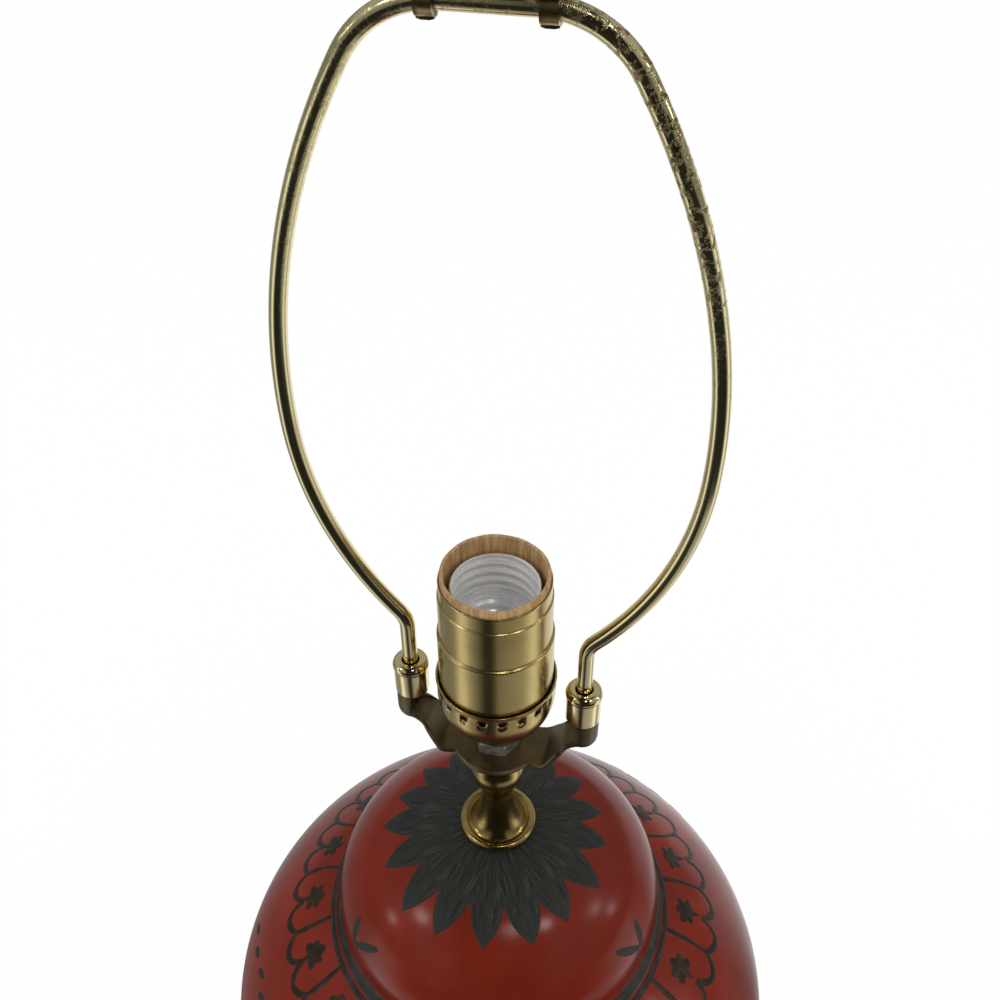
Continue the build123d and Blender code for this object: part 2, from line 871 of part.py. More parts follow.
def harp_tube(radius, first):
    """The harp's whole bend as a tube of a given radius, without its first few stretches."""
    path = Plane.XZ * Wire([line.edge() for line in harp_centreline()[first:]])
    half = sweep(Plane(path @ 0, z_dir=path % 0) * Circle(radius), path=path)
    return half + mirror(half, Plane.YZ)


def harp_wire():
    """One brass wire bent into the harp, each leg ending in a toe that traps its sleeve."""
    toe = Pos(leg_spread, 0, shoulder_level + slip_gap) * Cylinder(
        toe_radius, toe_height, align=(Align.CENTER, Align.CENTER, Align.MIN)
    )
    inner_side = Pos(leg_spread - toe_offset, 0, shoulder_level) * Box(
        2 * toe_radius, 2 * toe_radius, 2 * toe_height, align=(Align.MAX, Align.CENTER, Align.MIN)
    )
    toe &= inner_side
    return harp_tube(wire_radius, 0) + toe + mirror(toe, Plane.YZ)


def ferrule(side):
    """Sleeve on one leg of the harp: beaded top with a small hole, wide bore below."""
    low = shoulder_level
    top = low + ferrule_length
    roof = top - ferrule_roof
    sleeve = turned_corners(
        (ferrule_bore, low, ferrule_edge),
        (ferrule_body_radius, low, ferrule_edge),
        (ferrule_body_radius, top - ferrule_bead, ferrule_taper / 3),
        (ferrule_radius, top - ferrule_bead + ferrule_taper, ferrule_taper / 3),
        (ferrule_radius, top, ferrule_rounding),
        (ferrule_hole, top, ferrule_mouth),
        (ferrule_hole, roof),
        (ferrule_bore, roof),
    )
    return Pos(side * leg_spread, 0, 0) * sleeve


def left_ferrule():
    """Sleeve on the leg at -X."""
    return ferrule(-1)


def right_ferrule():
    """Sleeve on the leg at +X."""
    return ferrule(1)


def bracket_ear(at):
    """Ear that wraps round the wire, its two tips pinched together underneath."""
    outer = wire_radius + ear_gap + ear_wall
    lip = Pos(0, 0, -outer - ear_lip / 2 + ear_wall / 2) * Box(
        ear_width, ear_seam + 2 * ear_lip_thickness, ear_lip + ear_wall
    )
    lip = chamfer(lip.edges().filter_by(Axis.Y).group_by(Axis.Z)[0], ear_width / 4)
    seam = Pos(0, 0, -outer) * Box(2 * ear_width, ear_seam, 2 * outer)
    ring = Rot(0, 90, 0) * Cylinder(outer, ear_width)
    return Pos(at, 0, harp_level()) * (ring + lip - seam)


def harp_bracket():
    """Stamped bracket on the harp's top wire: an arch for the stud between two wrapped ears."""
    seat = harp_level() + wire_radius + ear_gap
    crown = seat + bracket_arch
    under = [
        (bracket_half_length, seat),
        (bracket_arch_foot, seat),
        (bracket_arch_top, crown),
        (-bracket_arch_top, crown),
        (-bracket_arch_foot, seat),
        (-bracket_half_length, seat),
    ]
    over = [(x, z + bracket_thickness) for x, z in reversed(under)]
    profile = make_face(Polyline(*under, *over, close=True))
    strip = extrude(Plane.XZ * profile, bracket_disc_radius + 1, both=True)
    outline = RectangleRounded(2 * bracket_half_length, 2 * bracket_half_width, bracket_half_width / 2)
    outline += Circle(bracket_disc_radius)
    plan = extrude(Pos(0, 0, seat - 1) * outline, bracket_arch + bracket_thickness + 2)
    body = (strip & plan) + bracket_ear(ear_spread) + bracket_ear(-ear_spread)
    body -= harp_tube(wire_radius + ear_gap, 4)
    return body - disc(stud_tail_radius + ear_gap, seat - 1, crown + bracket_thickness + 1)


def finial_stud():
    """Threaded stud riveted in the bracket's arch, for the shade and its finial."""
    crown = harp_level() + wire_radius + ear_gap + bracket_arch
    seat = crown + bracket_thickness
    top = seat + stud_flange + stud_length
    return turned_corners(
        (0, crown - stud_head),
        (stud_head_radius, crown - stud_head, stud_head / 2),
        (stud_head_radius, crown),
        (stud_tail_radius, crown),
        (stud_tail_radius, seat),
        (stud_flange_radius, seat),
        (stud_flange_radius, seat + stud_flange, stud_flange / 3),
        (stud_radius, seat + stud_flange),
        (stud_radius, top - stud_chamfer),
        (stud_radius - stud_chamfer, top),
        (0, top),
    )


makers = [
    foot_pads,
    wood_base,
    cord_bushing,
    base_washer,
    base_lock_washer,
    base_nut,
    lamp_rod,
    jar_body,
    jar_lid,
    neck_gasket,
    trumpet_neck,
    harp_saddle,
    saddle_locknut,
    socket_cap,
    cap_set_screw,
    socket_shell,
    insulating_liner,
    socket_block_low,
    socket_block_top,
    block_rivets,
    screw_shell,
    centre_contact,
    terminal_screws,
    switch_shaft,
    switch_knob,
    harp_wire,
    harp_bracket,
    finial_stud,
    left_ferrule,
    right_ferrule,
]

for maker in makers:
    node = Compound(children=list(maker().solids()))
    export_step(node, f"parts/{maker.__name__}.step")

print("levels:", "lid top", round(lid_top, 2), "cap rim", round(cap_rim, 2), "liner top", round(liner_top, 2))
print("harp top wire", round(harp_level(), 2))
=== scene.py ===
"""Ginger-jar table lamp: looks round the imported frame, standing on z = 0, its front facing -Y.

Shapes are worked out in millimetres and stored in metres. Levels come from the frame's nodes.
"""

from math import cos, pi, radians, sin, sqrt, tan

import bmesh
import bpy
import numpy as np
from mathutils import Matrix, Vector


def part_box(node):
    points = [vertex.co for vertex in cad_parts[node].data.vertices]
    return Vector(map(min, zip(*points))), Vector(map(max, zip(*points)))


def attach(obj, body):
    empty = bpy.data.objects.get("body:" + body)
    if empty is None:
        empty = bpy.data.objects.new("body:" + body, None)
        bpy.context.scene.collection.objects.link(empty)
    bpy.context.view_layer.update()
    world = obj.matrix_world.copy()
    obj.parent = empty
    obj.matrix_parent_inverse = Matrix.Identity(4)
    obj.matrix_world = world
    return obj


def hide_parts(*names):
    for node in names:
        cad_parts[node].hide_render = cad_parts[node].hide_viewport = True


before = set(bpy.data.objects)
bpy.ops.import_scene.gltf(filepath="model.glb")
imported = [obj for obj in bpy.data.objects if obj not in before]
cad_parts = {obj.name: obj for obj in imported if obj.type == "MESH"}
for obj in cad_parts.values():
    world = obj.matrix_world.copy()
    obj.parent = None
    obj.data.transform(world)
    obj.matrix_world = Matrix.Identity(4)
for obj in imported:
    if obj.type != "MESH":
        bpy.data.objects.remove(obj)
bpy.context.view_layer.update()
scene = bpy.context.scene


def level(node, side):
    """Lowest (side 0) or highest (side 1) level of a CAD node, in millimetres."""
    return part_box(node)[side][2] * 1000


lid_foot, lid_top = level("jar_lid", 0), level("jar_lid", 1)
jar_foot = level("jar_body", 0)
widest = jar_foot + 168.0
neck_low, neck_top = level("trumpet_neck", 0), level("trumpet_neck", 1)
cap_low, cap_rim = level("socket_cap", 0), level("socket_cap", 1)
shell_low, shell_top = level("socket_shell", 0), level("socket_shell", 1)
liner_low, liner_top = level("insulating_liner", 0), level("insulating_liner", 1)
thread_low, thread_top = level("screw_shell", 0), level("screw_shell", 1)
saddle_low = level("harp_saddle", 0)
sleeve_low, sleeve_top = level("left_ferrule", 0), level("left_ferrule", 1)
wire_low = level("harp_wire", 0)
base_low, base_top = level("wood_base", 0), level("wood_base", 1)
switch_level = (level("switch_shaft", 0) + level("switch_shaft", 1)) / 2

leg_spread = 27.8
wire_radius = 2.38

jar_radius, shoulder_rise, jar_wall = 107.7, 79.1, 5.0
foot_radius, foot_step, recess_radius = 60.0, 6.0, 52.0
ledge_radius, ledge_hole, collar_bore, collar_height = 63.0, 53.0, 48.5, 12.0
dome_flat, dome_across, dome_rise, lid_wall = 8.0, 51.7, 39.5, 5.0
rod_hole, rod_clearance = 6.05, 4.95
border_shift = 1.1


# Meshes


def grid_quads(count, rows, columns, rows_wrap, columns_wrap):
    """Corner numbers and UVs of the quads over equal grids of rows by columns."""
    row, column = np.meshgrid(
        np.arange(rows - 1 + rows_wrap), np.arange(columns - 1 + columns_wrap), indexing="ij"
    )
    step = np.array([[0, 0], [0, 1], [1, 1], [1, 0]])
    r = row.reshape(-1, 1) + step[:, 0]
    c = column.reshape(-1, 1) + step[:, 1]
    corners = (r % rows) * columns + c % columns
    spots = np.stack([c / (columns - 1 + columns_wrap), r / (rows - 1 + rows_wrap)], -1)
    first = np.arange(count)[:, None, None] * rows * columns
    return (first + corners).reshape(-1, 4), np.tile(spots, (count, 1, 1))


def strip(points, rows_wrap=False, columns_wrap=True, capped=False):
    """One part of a piece: grids of points (..., rows, columns, 3) in millimetres."""
    return np.asarray(points, float), rows_wrap, columns_wrap, capped


def piece(name, parts, body, finish, nodes=(), crease=35, weld=False):
    """A mesh over grids of points, riding a body and standing for CAD nodes."""
    points, corners, spots, sizes = [], [], [], []
    first = 0
    for grid, rows_wrap, columns_wrap, capped in parts:
        rows, columns = grid.shape[-3:-1]
        count = grid.size // (3 * rows * columns)
        quads, uv = grid_quads(count, rows, columns, rows_wrap, columns_wrap)
        points.append(grid.reshape(-1, 3))
        corners.append(first + quads.ravel())
        spots.append(uv.reshape(-1, 2))
        sizes.append(np.full(len(quads), 4))
        if capped:
            start = first + np.arange(count)[:, None] * rows * columns
            low = start + np.arange(columns)[::-1]
            high = start + (rows - 1) * columns + np.arange(columns)
            for ring, end in ((low, 0.0), (high, 1.0)):
                corners.append(ring.ravel())
                spots.append(np.full((ring.size, 2), end))
                sizes.append(np.full(count, columns))
        first += count * rows * columns
    points = np.concatenate(points) * 0.001
    corners, sizes = np.concatenate(corners), np.concatenate(sizes)
    mesh = bpy.data.meshes.new(name)
    mesh.vertices.add(len(points))
    mesh.vertices.foreach_set("co", points.ravel())
    mesh.loops.add(len(corners))
    mesh.loops.foreach_set("vertex_index", corners.astype(np.int32))
    mesh.polygons.add(len(sizes))
    mesh.polygons.foreach_set("loop_start", (np.cumsum(sizes) - sizes).astype(np.int32))
    mesh.uv_layers.new(name="surface").data.foreach_set("uv", np.concatenate(spots).ravel())
    mesh.update(calc_edges=True)
    mesh.validate()
    if weld:
        merge_doubles(mesh)
    return settle(name, mesh, body, finish, nodes, crease)


def merge_doubles(mesh, reach=1e-6):
    """Joins the vertices of a mesh that lie in one place."""
    work = bmesh.new()
    work.from_mesh(mesh)
    bmesh.ops.remove_doubles(work, verts=work.verts, dist=reach)
    work.to_mesh(mesh)
    work.free()


def settle(name, mesh, body, finish, nodes, crease):
    """Puts a finished mesh in the scene: smooth but for its creases, on its body."""
    mesh.shade_smooth()
    mesh.set_sharp_from_angle(angle=radians(crease))
    mesh.materials.clear()
    mesh.materials.append(finish)
    obj = bpy.data.objects.new(name, mesh)
    scene.collection.objects.link(obj)
    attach(obj, body)
    if nodes:
        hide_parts(*nodes)
    return obj


def softened(node, body, finish, edge=0.15, crease=30, shaped=None):
    """A merged copy of a CAD node with its edges broken by a small bevel.

    shaped, where it is given, moves the copy's points, an array of x, y, z in mm.
    """
    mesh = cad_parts[node].data.copy()
    merge_doubles(mesh)
    if shaped:
        points = np.empty(3 * len(mesh.vertices), np.float32)
        mesh.vertices.foreach_get("co", points)
        points = shaped(points.reshape(-1, 3) * 1000) / 1000
        mesh.vertices.foreach_set("co", points.ravel().astype(np.float32))
        mesh.update()
    for layer in list(mesh.uv_layers):
        mesh.uv_layers.remove(layer)
    obj = settle(node + "_finished", mesh, body, finish, (node,), crease)
    if edge:
        bevel = obj.modifiers.new("edge", "BEVEL")
        bevel.width = edge * 0.001
        bevel.segments = 2
        bevel.limit_method = "ANGLE"
        bevel.angle_limit = radians(crease)
        bevel.harden_normals = True
    return obj


def walled(obj, wall):
    """Gives an open surface its wall, away from the side its faces look to."""
    solid = obj.modifiers.new("wall", "SOLIDIFY")
    solid.thickness = wall * 0.001
    solid.offset = -1
    solid.use_even_offset = True
    return obj


# Outlines


def bezier(a, b, c, d, steps=24):
    """Points on the cubic with ends a, d and handles b, c."""
    t = np.linspace(0, 1, steps)[:, None]
    a, b, c, d = (np.array(p, float) for p in (a, b, c, d))
    return (1 - t) ** 3 * a + 3 * t * (1 - t) ** 2 * b + 3 * t * t * (1 - t) * c + t**3 * d


def ellipse_arc(centre, across, up, start, end, steps=32):
    """Points of the ellipse (across cos a, up sin a) about a centre, angles in degrees."""
    a = np.radians(np.linspace(start, end, steps))
    return np.stack([centre[0] + across * np.cos(a), centre[1] + up * np.sin(a)], -1)


def rounded(corners, steps=5):
    """A closed outline through corners (x, y, rounding), each rounding a circular arc."""
    outline = []
    for i, corner in enumerate(corners):
        here = np.array(corner[:2], float)
        size = corner[2] if len(corner) > 2 else 0
        if not size:
            outline.append(here[None])
            continue
        before = np.array(corners[i - 1][:2]) - here
        after = np.array(corners[(i + 1) % len(corners)][:2]) - here
        before /= np.linalg.norm(before)
        after /= np.linalg.norm(after)
        half = np.arccos(np.clip(before @ after, -1, 1)) / 2
        middle = (before + after) / np.linalg.norm(before + after)
        centre = here + middle * size / sin(half)
        first = here + before * size / tan(half) - centre
        last = here + after * size / tan(half) - centre
        sweep = pi - 2 * half
        t = np.linspace(0, 1, steps)[:, None]
        arc = np.sin((1 - t) * sweep) * first + np.sin(t * sweep) * last
        outline.append(centre + arc / sin(sweep))
    return np.concatenate(outline)


def facing_out(outline):
    """A closed outline in the order that turns its faces outwards: area over zero."""
    x, y = outline.T
    area = (x * np.roll(y, -1) - np.roll(x, -1) * y).sum()
    return outline if area > 0 else outline[::-1]


def polar(r, a, z):
    """Points at a radius, an angle and a height about the Z axis."""
    return np.stack([r * np.cos(a), r * np.sin(a), z + 0 * a], -1)


def lathe(outline, steps=160, centre=(0, 0)):
    """Points (rows, steps, 3): the outline (r, z) turned about a vertical axis."""
    a = np.linspace(0, 2 * pi, steps, endpoint=False)
    return polar(outline[:, 0, None], a, outline[:, 1, None]) + (*centre, 0)


def ring(outline, steps=160, centre=(0, 0)):
    """A solid of revolution from a closed outline."""
    return strip(lathe(facing_out(outline), steps, centre), rows_wrap=True)


def ramp(x, low, high):
    """Smooth step from 0 at low to 1 at high."""
    t = np.clip((np.asarray(x, float) - low) / (high - low), 0, 1)
    return t * t * (3 - 2 * t)


# Finishes


def paint(red, green, blue):
    """A colour seen on screen, 0 to 255, as the linear colour a shader takes."""
    c = np.array([red, green, blue]) / 255
    return (*np.where(c <= 0.04045, c / 12.92, ((c + 0.055) / 1.055) ** 2.4), 1.0)


class Wiring:
    """Short calls that add and join the nodes of a shader."""

    def __init__(self, tree):
        self.tree = tree

    def join(self, socket, value):
        """Gives a socket a value, or a link from another socket."""
        if hasattr(value, "is_output"):
            self.tree.links.new(value, socket)
        else:
            socket.default_value = value

    def node(self, kind, *values, **named):
        """Adds a node: values for its first inputs, and named settings or inputs."""
        made = self.tree.nodes.new("ShaderNode" + kind)
        for name, value in named.items():
            if name in made.inputs:
                self.join(made.inputs[name], value)
            else:
                setattr(made, name, value)
        for socket, value in zip(made.inputs, values):
            self.join(socket, value)
        return made

    def math(self, operation, a, b=0.0):
        return self.node("Math", a, b, operation=operation).outputs[0]

    def fit(self, value, low, high, to_low=0.0, to_high=1.0):
        """Stretches a value from low..high to another range, smoothly."""
        ends = (low, high, to_low, to_high)
        return self.node("MapRange", value, *ends, interpolation_type="SMOOTHSTEP").outputs[0]

    def mix(self, share, low, high):
        """The colour between two colours or sockets."""
        made = self.node("Mix", share, data_type="RGBA")
        self.join(made.inputs[6], low)
        self.join(made.inputs[7], high)
        return made.outputs[2]

    def between(self, share, low, high):
        """The number between two numbers or sockets."""
        made = self.node("Mix", share)
        self.join(made.inputs[2], low)
        self.join(made.inputs[3], high)
        return made.outputs[0]


class Finish(Wiring):
    """A material whose pattern is built with short calls."""

    def __init__(self, name, metallic=0.0, roughness=0.5, specular=0.5):
        self.material = bpy.data.materials.new(name)
        self.material.use_nodes = True
        super().__init__(self.material.node_tree)
        self.shader = self.tree.nodes["Principled BSDF"]
        self.shader.inputs["Metallic"].default_value = metallic
        self.shader.inputs["Roughness"].default_value = roughness
        self.shader.inputs["Specular IOR Level"].default_value = specular

    def place(self, scale=(1, 1, 1), turn=(0, 0, 0), uv=False):
        """Coordinates on the piece, in metres or over its UV map, stretched by scale."""
        source = self.node("TexCoord").outputs["UV" if uv else "Object"]
        return self.node("Mapping", source, Scale=scale, Rotation=turn).outputs["Vector"]

    def noise(self, at, size, detail=4, rough=0.55, warp=0):
        shape = {"Scale": size, "Detail": detail, "Roughness": rough, "Distortion": warp}
        return self.node("TexNoise", at, **shape).outputs["Fac"]

    def tones(self, source, low, high, first, second):
        """The colour between two tones as a value runs from low to high."""
        return self.mix(self.fit(source, low, high), paint(*first), paint(*second))

    def colour(self, source):
        self.join(self.shader.inputs["Base Color"], source)

    def rough(self, *fitted):
        """The roughness, a value fitted as fit() does."""
        self.join(self.shader.inputs["Roughness"], self.fit(*fitted))

    def bump(self, height, depth):
        """Raises the surface by a height of 0 to 1 times a depth in millimetres."""
        made = self.node("Bump", Height=height, Strength=1.0, Distance=depth * 0.001)
        self.join(self.shader.inputs["Normal"], made.outputs["Normal"])


def red_glaze():
    """Oxblood glaze: two close reds in slow clouds, a soft gloss and a faint ripple."""
    f = Finish("red_glaze", roughness=0.2, specular=0.26)
    at = f.place()
    cloud = f.noise(at, 14, 5, 0.6, 0.4)
    colour = f.tones(cloud, 0.35, 0.68, (108, 30, 15), (132, 41, 24))
    speck = f.noise(at, 900, 2)
    colour = f.mix(f.fit(speck, 0.68, 0.78, 0, 0.5), colour, paint(70, 16, 10))
    f.colour(colour)
    f.rough(f.noise(at, 60, 4), 0.3, 0.7, 0.16, 0.24)
    f.bump(f.noise(at, 90, 3), 0.02)
    return f.material


def black_paint():
    """Matt black painted over the glaze: greyish brush streaks along each petal."""
    f = Finish("black_paint", roughness=0.48, specular=0.3)
    streak = f.noise(f.place((26, 1.6, 1), uv=True), 2.2, 5, 0.6, 0.3)
    spot = f.noise(f.place(), 160, 4, 0.6)
    colour = f.tones(streak, 0.4, 0.7, (33, 34, 29), (58, 62, 56))
    colour = f.mix(f.fit(spot, 0.6, 0.8, 0, 0.4), colour, paint(74, 80, 76))
    f.colour(colour)
    f.rough(streak, 0.3, 0.7, 0.42, 0.6)
    f.bump(streak, 0.05)
    return f.material


def border_ink():
    """Thin brownish black line work, the red showing through where the brush ran dry."""
    f = Finish("border_ink", roughness=0.35, specular=0.26)
    run = f.noise(f.place(), 220, 4, 0.6)
    colour = f.tones(run, 0.35, 0.75, (38, 29, 19), (62, 44, 31))
    f.colour(colour)
    f.bump(run, 0.03)
    return f.material


def harp_brass():
    """Brass-plated wire: clear gold, with small dull flecks where the lacquer has gone."""
    f = Finish("harp_brass", metallic=1.0, roughness=0.14)
    at = f.place()
    fleck = f.noise(at, 420, 6, 0.7, 0.5)
    apart = f.node("SeparateXYZ", at)
    upper = f.fit(apart.outputs["Z"], 0.5, 0.56, 0.04, 1.0)
    worn = f.math("MULTIPLY", upper, f.fit(apart.outputs["X"], 0.0, 0.04, 0.25, 1.0))
    where = f.math("MULTIPLY", f.fit(fleck, 0.5, 0.6), worn)
    f.colour(f.mix(where, paint(236, 223, 172), paint(122, 98, 60)))
    f.rough(where, 0, 1, 0.13, 0.45)
    f.bump(f.math("SUBTRACT", 1.0, where), 0.05)
    return f.material


def bright_brass():
    """Polished brass of the sleeves: pale gold with faint turning marks."""
    f = Finish("bright_brass", metallic=1.0, roughness=0.09)
    mark = f.noise(f.place((3, 3, 900)), 3, 3)
    f.colour(f.tones(mark, 0.3, 0.7, (232, 215, 156), (247, 232, 182)))
    f.rough(mark, 0.3, 0.7, 0.07, 0.13)
    f.bump(mark, 0.004)
    return f.material


def neck_brass():
    """Spun brass of the neck, toned by age."""
    f = Finish("neck_brass", metallic=1.0, roughness=0.2)
    mark = f.noise(f.place((3, 3, 700)), 3, 4)
    cloud = f.noise(f.place(), 90, 4)
    colour = f.tones(cloud, 0.35, 0.7, (196, 172, 108), (158, 132, 78))
    f.colour(colour)
    f.rough(mark, 0.3, 0.7, 0.16, 0.28)
    f.bump(mark, 0.01)
    return f.material


def shell_brass():
    """Brushed and aged brass: fine lines round the shell, brown and olive clouds."""
    f = Finish("shell_brass", metallic=1.0, roughness=0.3)
    line = f.noise(f.place((10, 10, 2600)), 3, 5, 0.6)
    band = f.noise(f.place((8, 8, 240)), 3, 3)
    cloud = f.noise(f.place(), 70, 4, 0.6)
    colour = f.tones(line, 0.3, 0.7, (196, 174, 112), (210, 189, 126))
    colour = f.mix(f.fit(cloud, 0.45, 0.75, 0, 0.45), colour, paint(168, 146, 92))
    colour = f.mix(f.fit(band, 0.6, 0.8, 0, 0.3), colour, paint(152, 126, 76))
    f.colour(colour)
    f.rough(line, 0.3, 0.7, 0.2, 0.26)
    f.bump(line, 0.002)
    return f.material


def saddle_bronze():
    """Stamped steel with a thin dark bronze wash, greyer where it is rubbed."""
    f = Finish("saddle_bronze", metallic=0.92, roughness=0.42)
    at = f.place()
    cloud = f.noise(at, 55, 5, 0.6, 0.6)
    grain = f.noise(at, 600, 4)
    colour = f.tones(cloud, 0.35, 0.7, (102, 91, 66), (130, 117, 88))
    f.colour(f.mix(f.fit(grain, 0.6, 0.75, 0, 0.5), colour, paint(60, 52, 36)))
    f.rough(cloud, 0.3, 0.7, 0.34, 0.48)
    f.bump(grain, 0.015)
    return f.material


def dark_bronze():
    """Aged brass of the bracket: brown skin with gold rubbed through."""
    f = Finish("dark_bronze", metallic=1.0, roughness=0.34)
    at = f.place()
    rub = f.noise(at, 180, 6, 0.65, 0.4)
    f.colour(f.tones(rub, 0.4, 0.62, (112, 94, 62), (178, 158, 110)))
    f.rough(rub, 0.4, 0.62, 0.45, 0.26)
    f.bump(rub, 0.02)
    return f.material


def brown_card():
    """Pressed card: tan, with long fibres and dark scuffs down its wall."""
    f = Finish("brown_card", roughness=0.78)
    fibre = f.noise(f.place((700, 700, 60)), 1.4, 5, 0.65)
    scuff = f.noise(f.place((330, 330, 45)), 1.2, 4, 0.6, 0.8)
    colour = f.tones(fibre, 0.3, 0.7, (150, 115, 72), (200, 166, 116))
    f.colour(f.mix(f.fit(scuff, 0.66, 0.74), colour, paint(96, 66, 42)))
    f.bump(fibre, 0.05)
    return f.material


def screw_aluminium():
    """Drawn aluminium of the screw shell, bright, with lines round the thread."""
    f = Finish("screw_aluminium", metallic=0.5, roughness=0.28)
    line = f.noise(f.place((20, 20, 1500)), 2, 3)
    f.colour(f.tones(line, 0.3, 0.7, (244, 245, 246), (252, 252, 252)))
    f.rough(line, 0.3, 0.7, 0.24, 0.34)
    return f.material


def zinc_steel():
    """Zinc-plated hardware: cool grey with a faint crystal pattern."""
    f = Finish("zinc_steel", metallic=0.8, roughness=0.3)
    cell = f.node("TexVoronoi", f.place(), Scale=420).outputs["Distance"]
    f.colour(f.tones(cell, 0.2, 0.8, (164, 162, 152), (196, 195, 188)))
    f.rough(cell, 0.2, 0.8, 0.26, 0.38)
    return f.material


def dark_wood():
    """Turned hardwood under a dark stain and satin lacquer, its grain along X."""
    f = Finish("dark_wood", roughness=0.32)
    at = f.place((9, 70, 70))
    grain = f.noise(at, 2.6, 6, 0.6, 0.8)
    pore = f.noise(f.place((60, 900, 900)), 1.2, 3, 0.6)
    colour = f.tones(grain, 0.32, 0.68, (30, 16, 9), (64, 36, 20))
    f.colour(f.mix(f.fit(pore, 0.6, 0.72, 0, 0.7), colour, paint(18, 9, 6)))
    f.rough(grain, 0.3, 0.7, 0.26, 0.4)
    f.bump(pore, 0.03)
    return f.material


def moulded(name, low, high, roughness, size=500):
    """Moulded rubber or resin: one dark tone with a fine mottle and a slight orange peel."""
    f = Finish(name, roughness=roughness)
    at = f.place()
    mottle = f.noise(at, size, 4, 0.6)
    f.colour(f.tones(mottle, 0.35, 0.65, low, high))
    f.rough(mottle, 0.3, 0.7, roughness - 0.06, roughness + 0.06)
    f.bump(mottle, 0.02)
    return f.material


glaze = red_glaze()
petal_paint = black_paint()
ink = border_ink()
wire_brass = harp_brass()
sleeve_brass = bright_brass()
spun_brass = neck_brass()
aged_brass = shell_brass()
bronze = saddle_bronze()
bracket_bronze = dark_bronze()
card = brown_card()
aluminium = screw_aluminium()
zinc = zinc_steel()
wood = dark_wood()
rubber = moulded("black_rubber", (20, 20, 20), (38, 38, 37), 0.62)
resin = moulded("black_plastic", (28, 22, 18), (44, 34, 27), 0.36)
knob_resin = moulded("brown_knob", (40, 24, 16), (62, 38, 26), 0.24, 260)


# Jar and lid


def jar_outside():
    """Line (r, z) of the jar's outside from the foot up to the ledge: a cubic belly, then the
    ellipse r = jar_radius cos a, z = widest + shoulder_rise sin a."""
    foot = foot_radius - 1.2
    belly = bezier(
        (foot, jar_foot + foot_step),
        (foot + 13, jar_foot + 38),
        (jar_radius, widest - 78),
        (jar_radius, widest),
        48,
    )
    top = np.degrees(np.arccos(ledge_radius / jar_radius))
    shoulder = ellipse_arc((0, widest), jar_radius, shoulder_rise, 0, top, 56)
    return np.concatenate([belly[:-1], shoulder])


def lid_outside():
    """Line (r, z) of the lid's outside from its hole down to the ledge.

    It is flat, then the quarter ellipse r = dome_flat + dome_across cos a,
    z = spring + dome_rise sin a, then a flared skirt with a soft edge.
    """
    spring = lid_top - dome_rise
    side, flared = dome_flat + dome_across, (62.3, lid_foot + 1.6)
    dome = ellipse_arc((dome_flat, spring), dome_across, dome_rise, 90, 0, 56)
    flare = bezier((side, spring), (side + 0.2, spring - 5), (61.4, spring - 8.5), flared, 10)
    edge = bezier(flared, (62.8, lid_foot + 0.8), (62.7, lid_foot), (61.6, lid_foot), 6)
    return np.concatenate([[(rod_hole, lid_top)], dome, flare[1:], edge[1:]])


def jar_body():
    """The jar: outside line, collar, then a plain inside 5 to 8 mm further in."""
    floor, recess = jar_foot + 11, jar_foot + 4
    across = jar_radius - jar_wall
    start = np.degrees(np.arccos(collar_bore / across))
    vault = ellipse_arc((0, widest), across, shoulder_rise - 8, start, 0, 40)
    inside = bezier((across, widest), (across, widest - 78), (66.8, floor + 32), (53.8, floor), 40)
    outline = rounded(
        [
            (rod_hole, floor),
            (rod_hole, recess),
            (recess_radius, recess),
            (recess_radius, jar_foot, 1.2),
            (foot_radius, jar_foot, 1.2),
            (foot_radius, jar_foot + foot_step, 1.2),
            *jar_outside(),
            (ledge_hole, lid_foot),
            (ledge_hole, lid_foot + collar_height, 1.5),
            (collar_bore, lid_foot + collar_height, 1.5),
            *vault,
            *inside[1:],
        ]
    )
    piece("jar_glazed", [ring(outline, 256)], "lamp", glaze, ["jar_body"])


def jar_lid():
    """The lid: outside line and a vault 5 mm under it."""
    spring, inside = lid_top - dome_rise, 54.4
    vault = ellipse_arc((dome_flat, spring), inside - dome_flat, dome_rise - lid_wall, 0, 90, 40)
    edge = [(inside + 0.5, lid_foot), (inside, lid_foot + 0.6)]
    outline = np.concatenate([lid_outside(), edge, vault, [(rod_hole, lid_top - lid_wall)]])
    piece("lid_glazed", [ring(outline, 256)], "lamp", glaze, ["jar_lid"])


def skin(line):
    """Distance along a line (r, z) that runs outwards and down, with the line's points."""
    reach = np.concatenate([[0], np.cumsum(np.linalg.norm(np.diff(line, axis=0), axis=1))])
    return reach, line


def on_skin(surface, along, angle, lift):
    """Points on a turned surface at a distance along its line and an angle, lifted off it."""
    reach, line = surface
    r, z = (np.interp(along, reach, line[:, i]) for i in (0, 1))
    dr, dz = (
        np.interp(along + 0.4, reach, line[:, i]) - np.interp(along - 0.4, reach, line[:, i])
        for i in (0, 1)
    )
    size = np.hypot(dr, dz)
    r = r - lift * dz / size
    z = z + lift * dr / size
    return polar(r, angle, z)


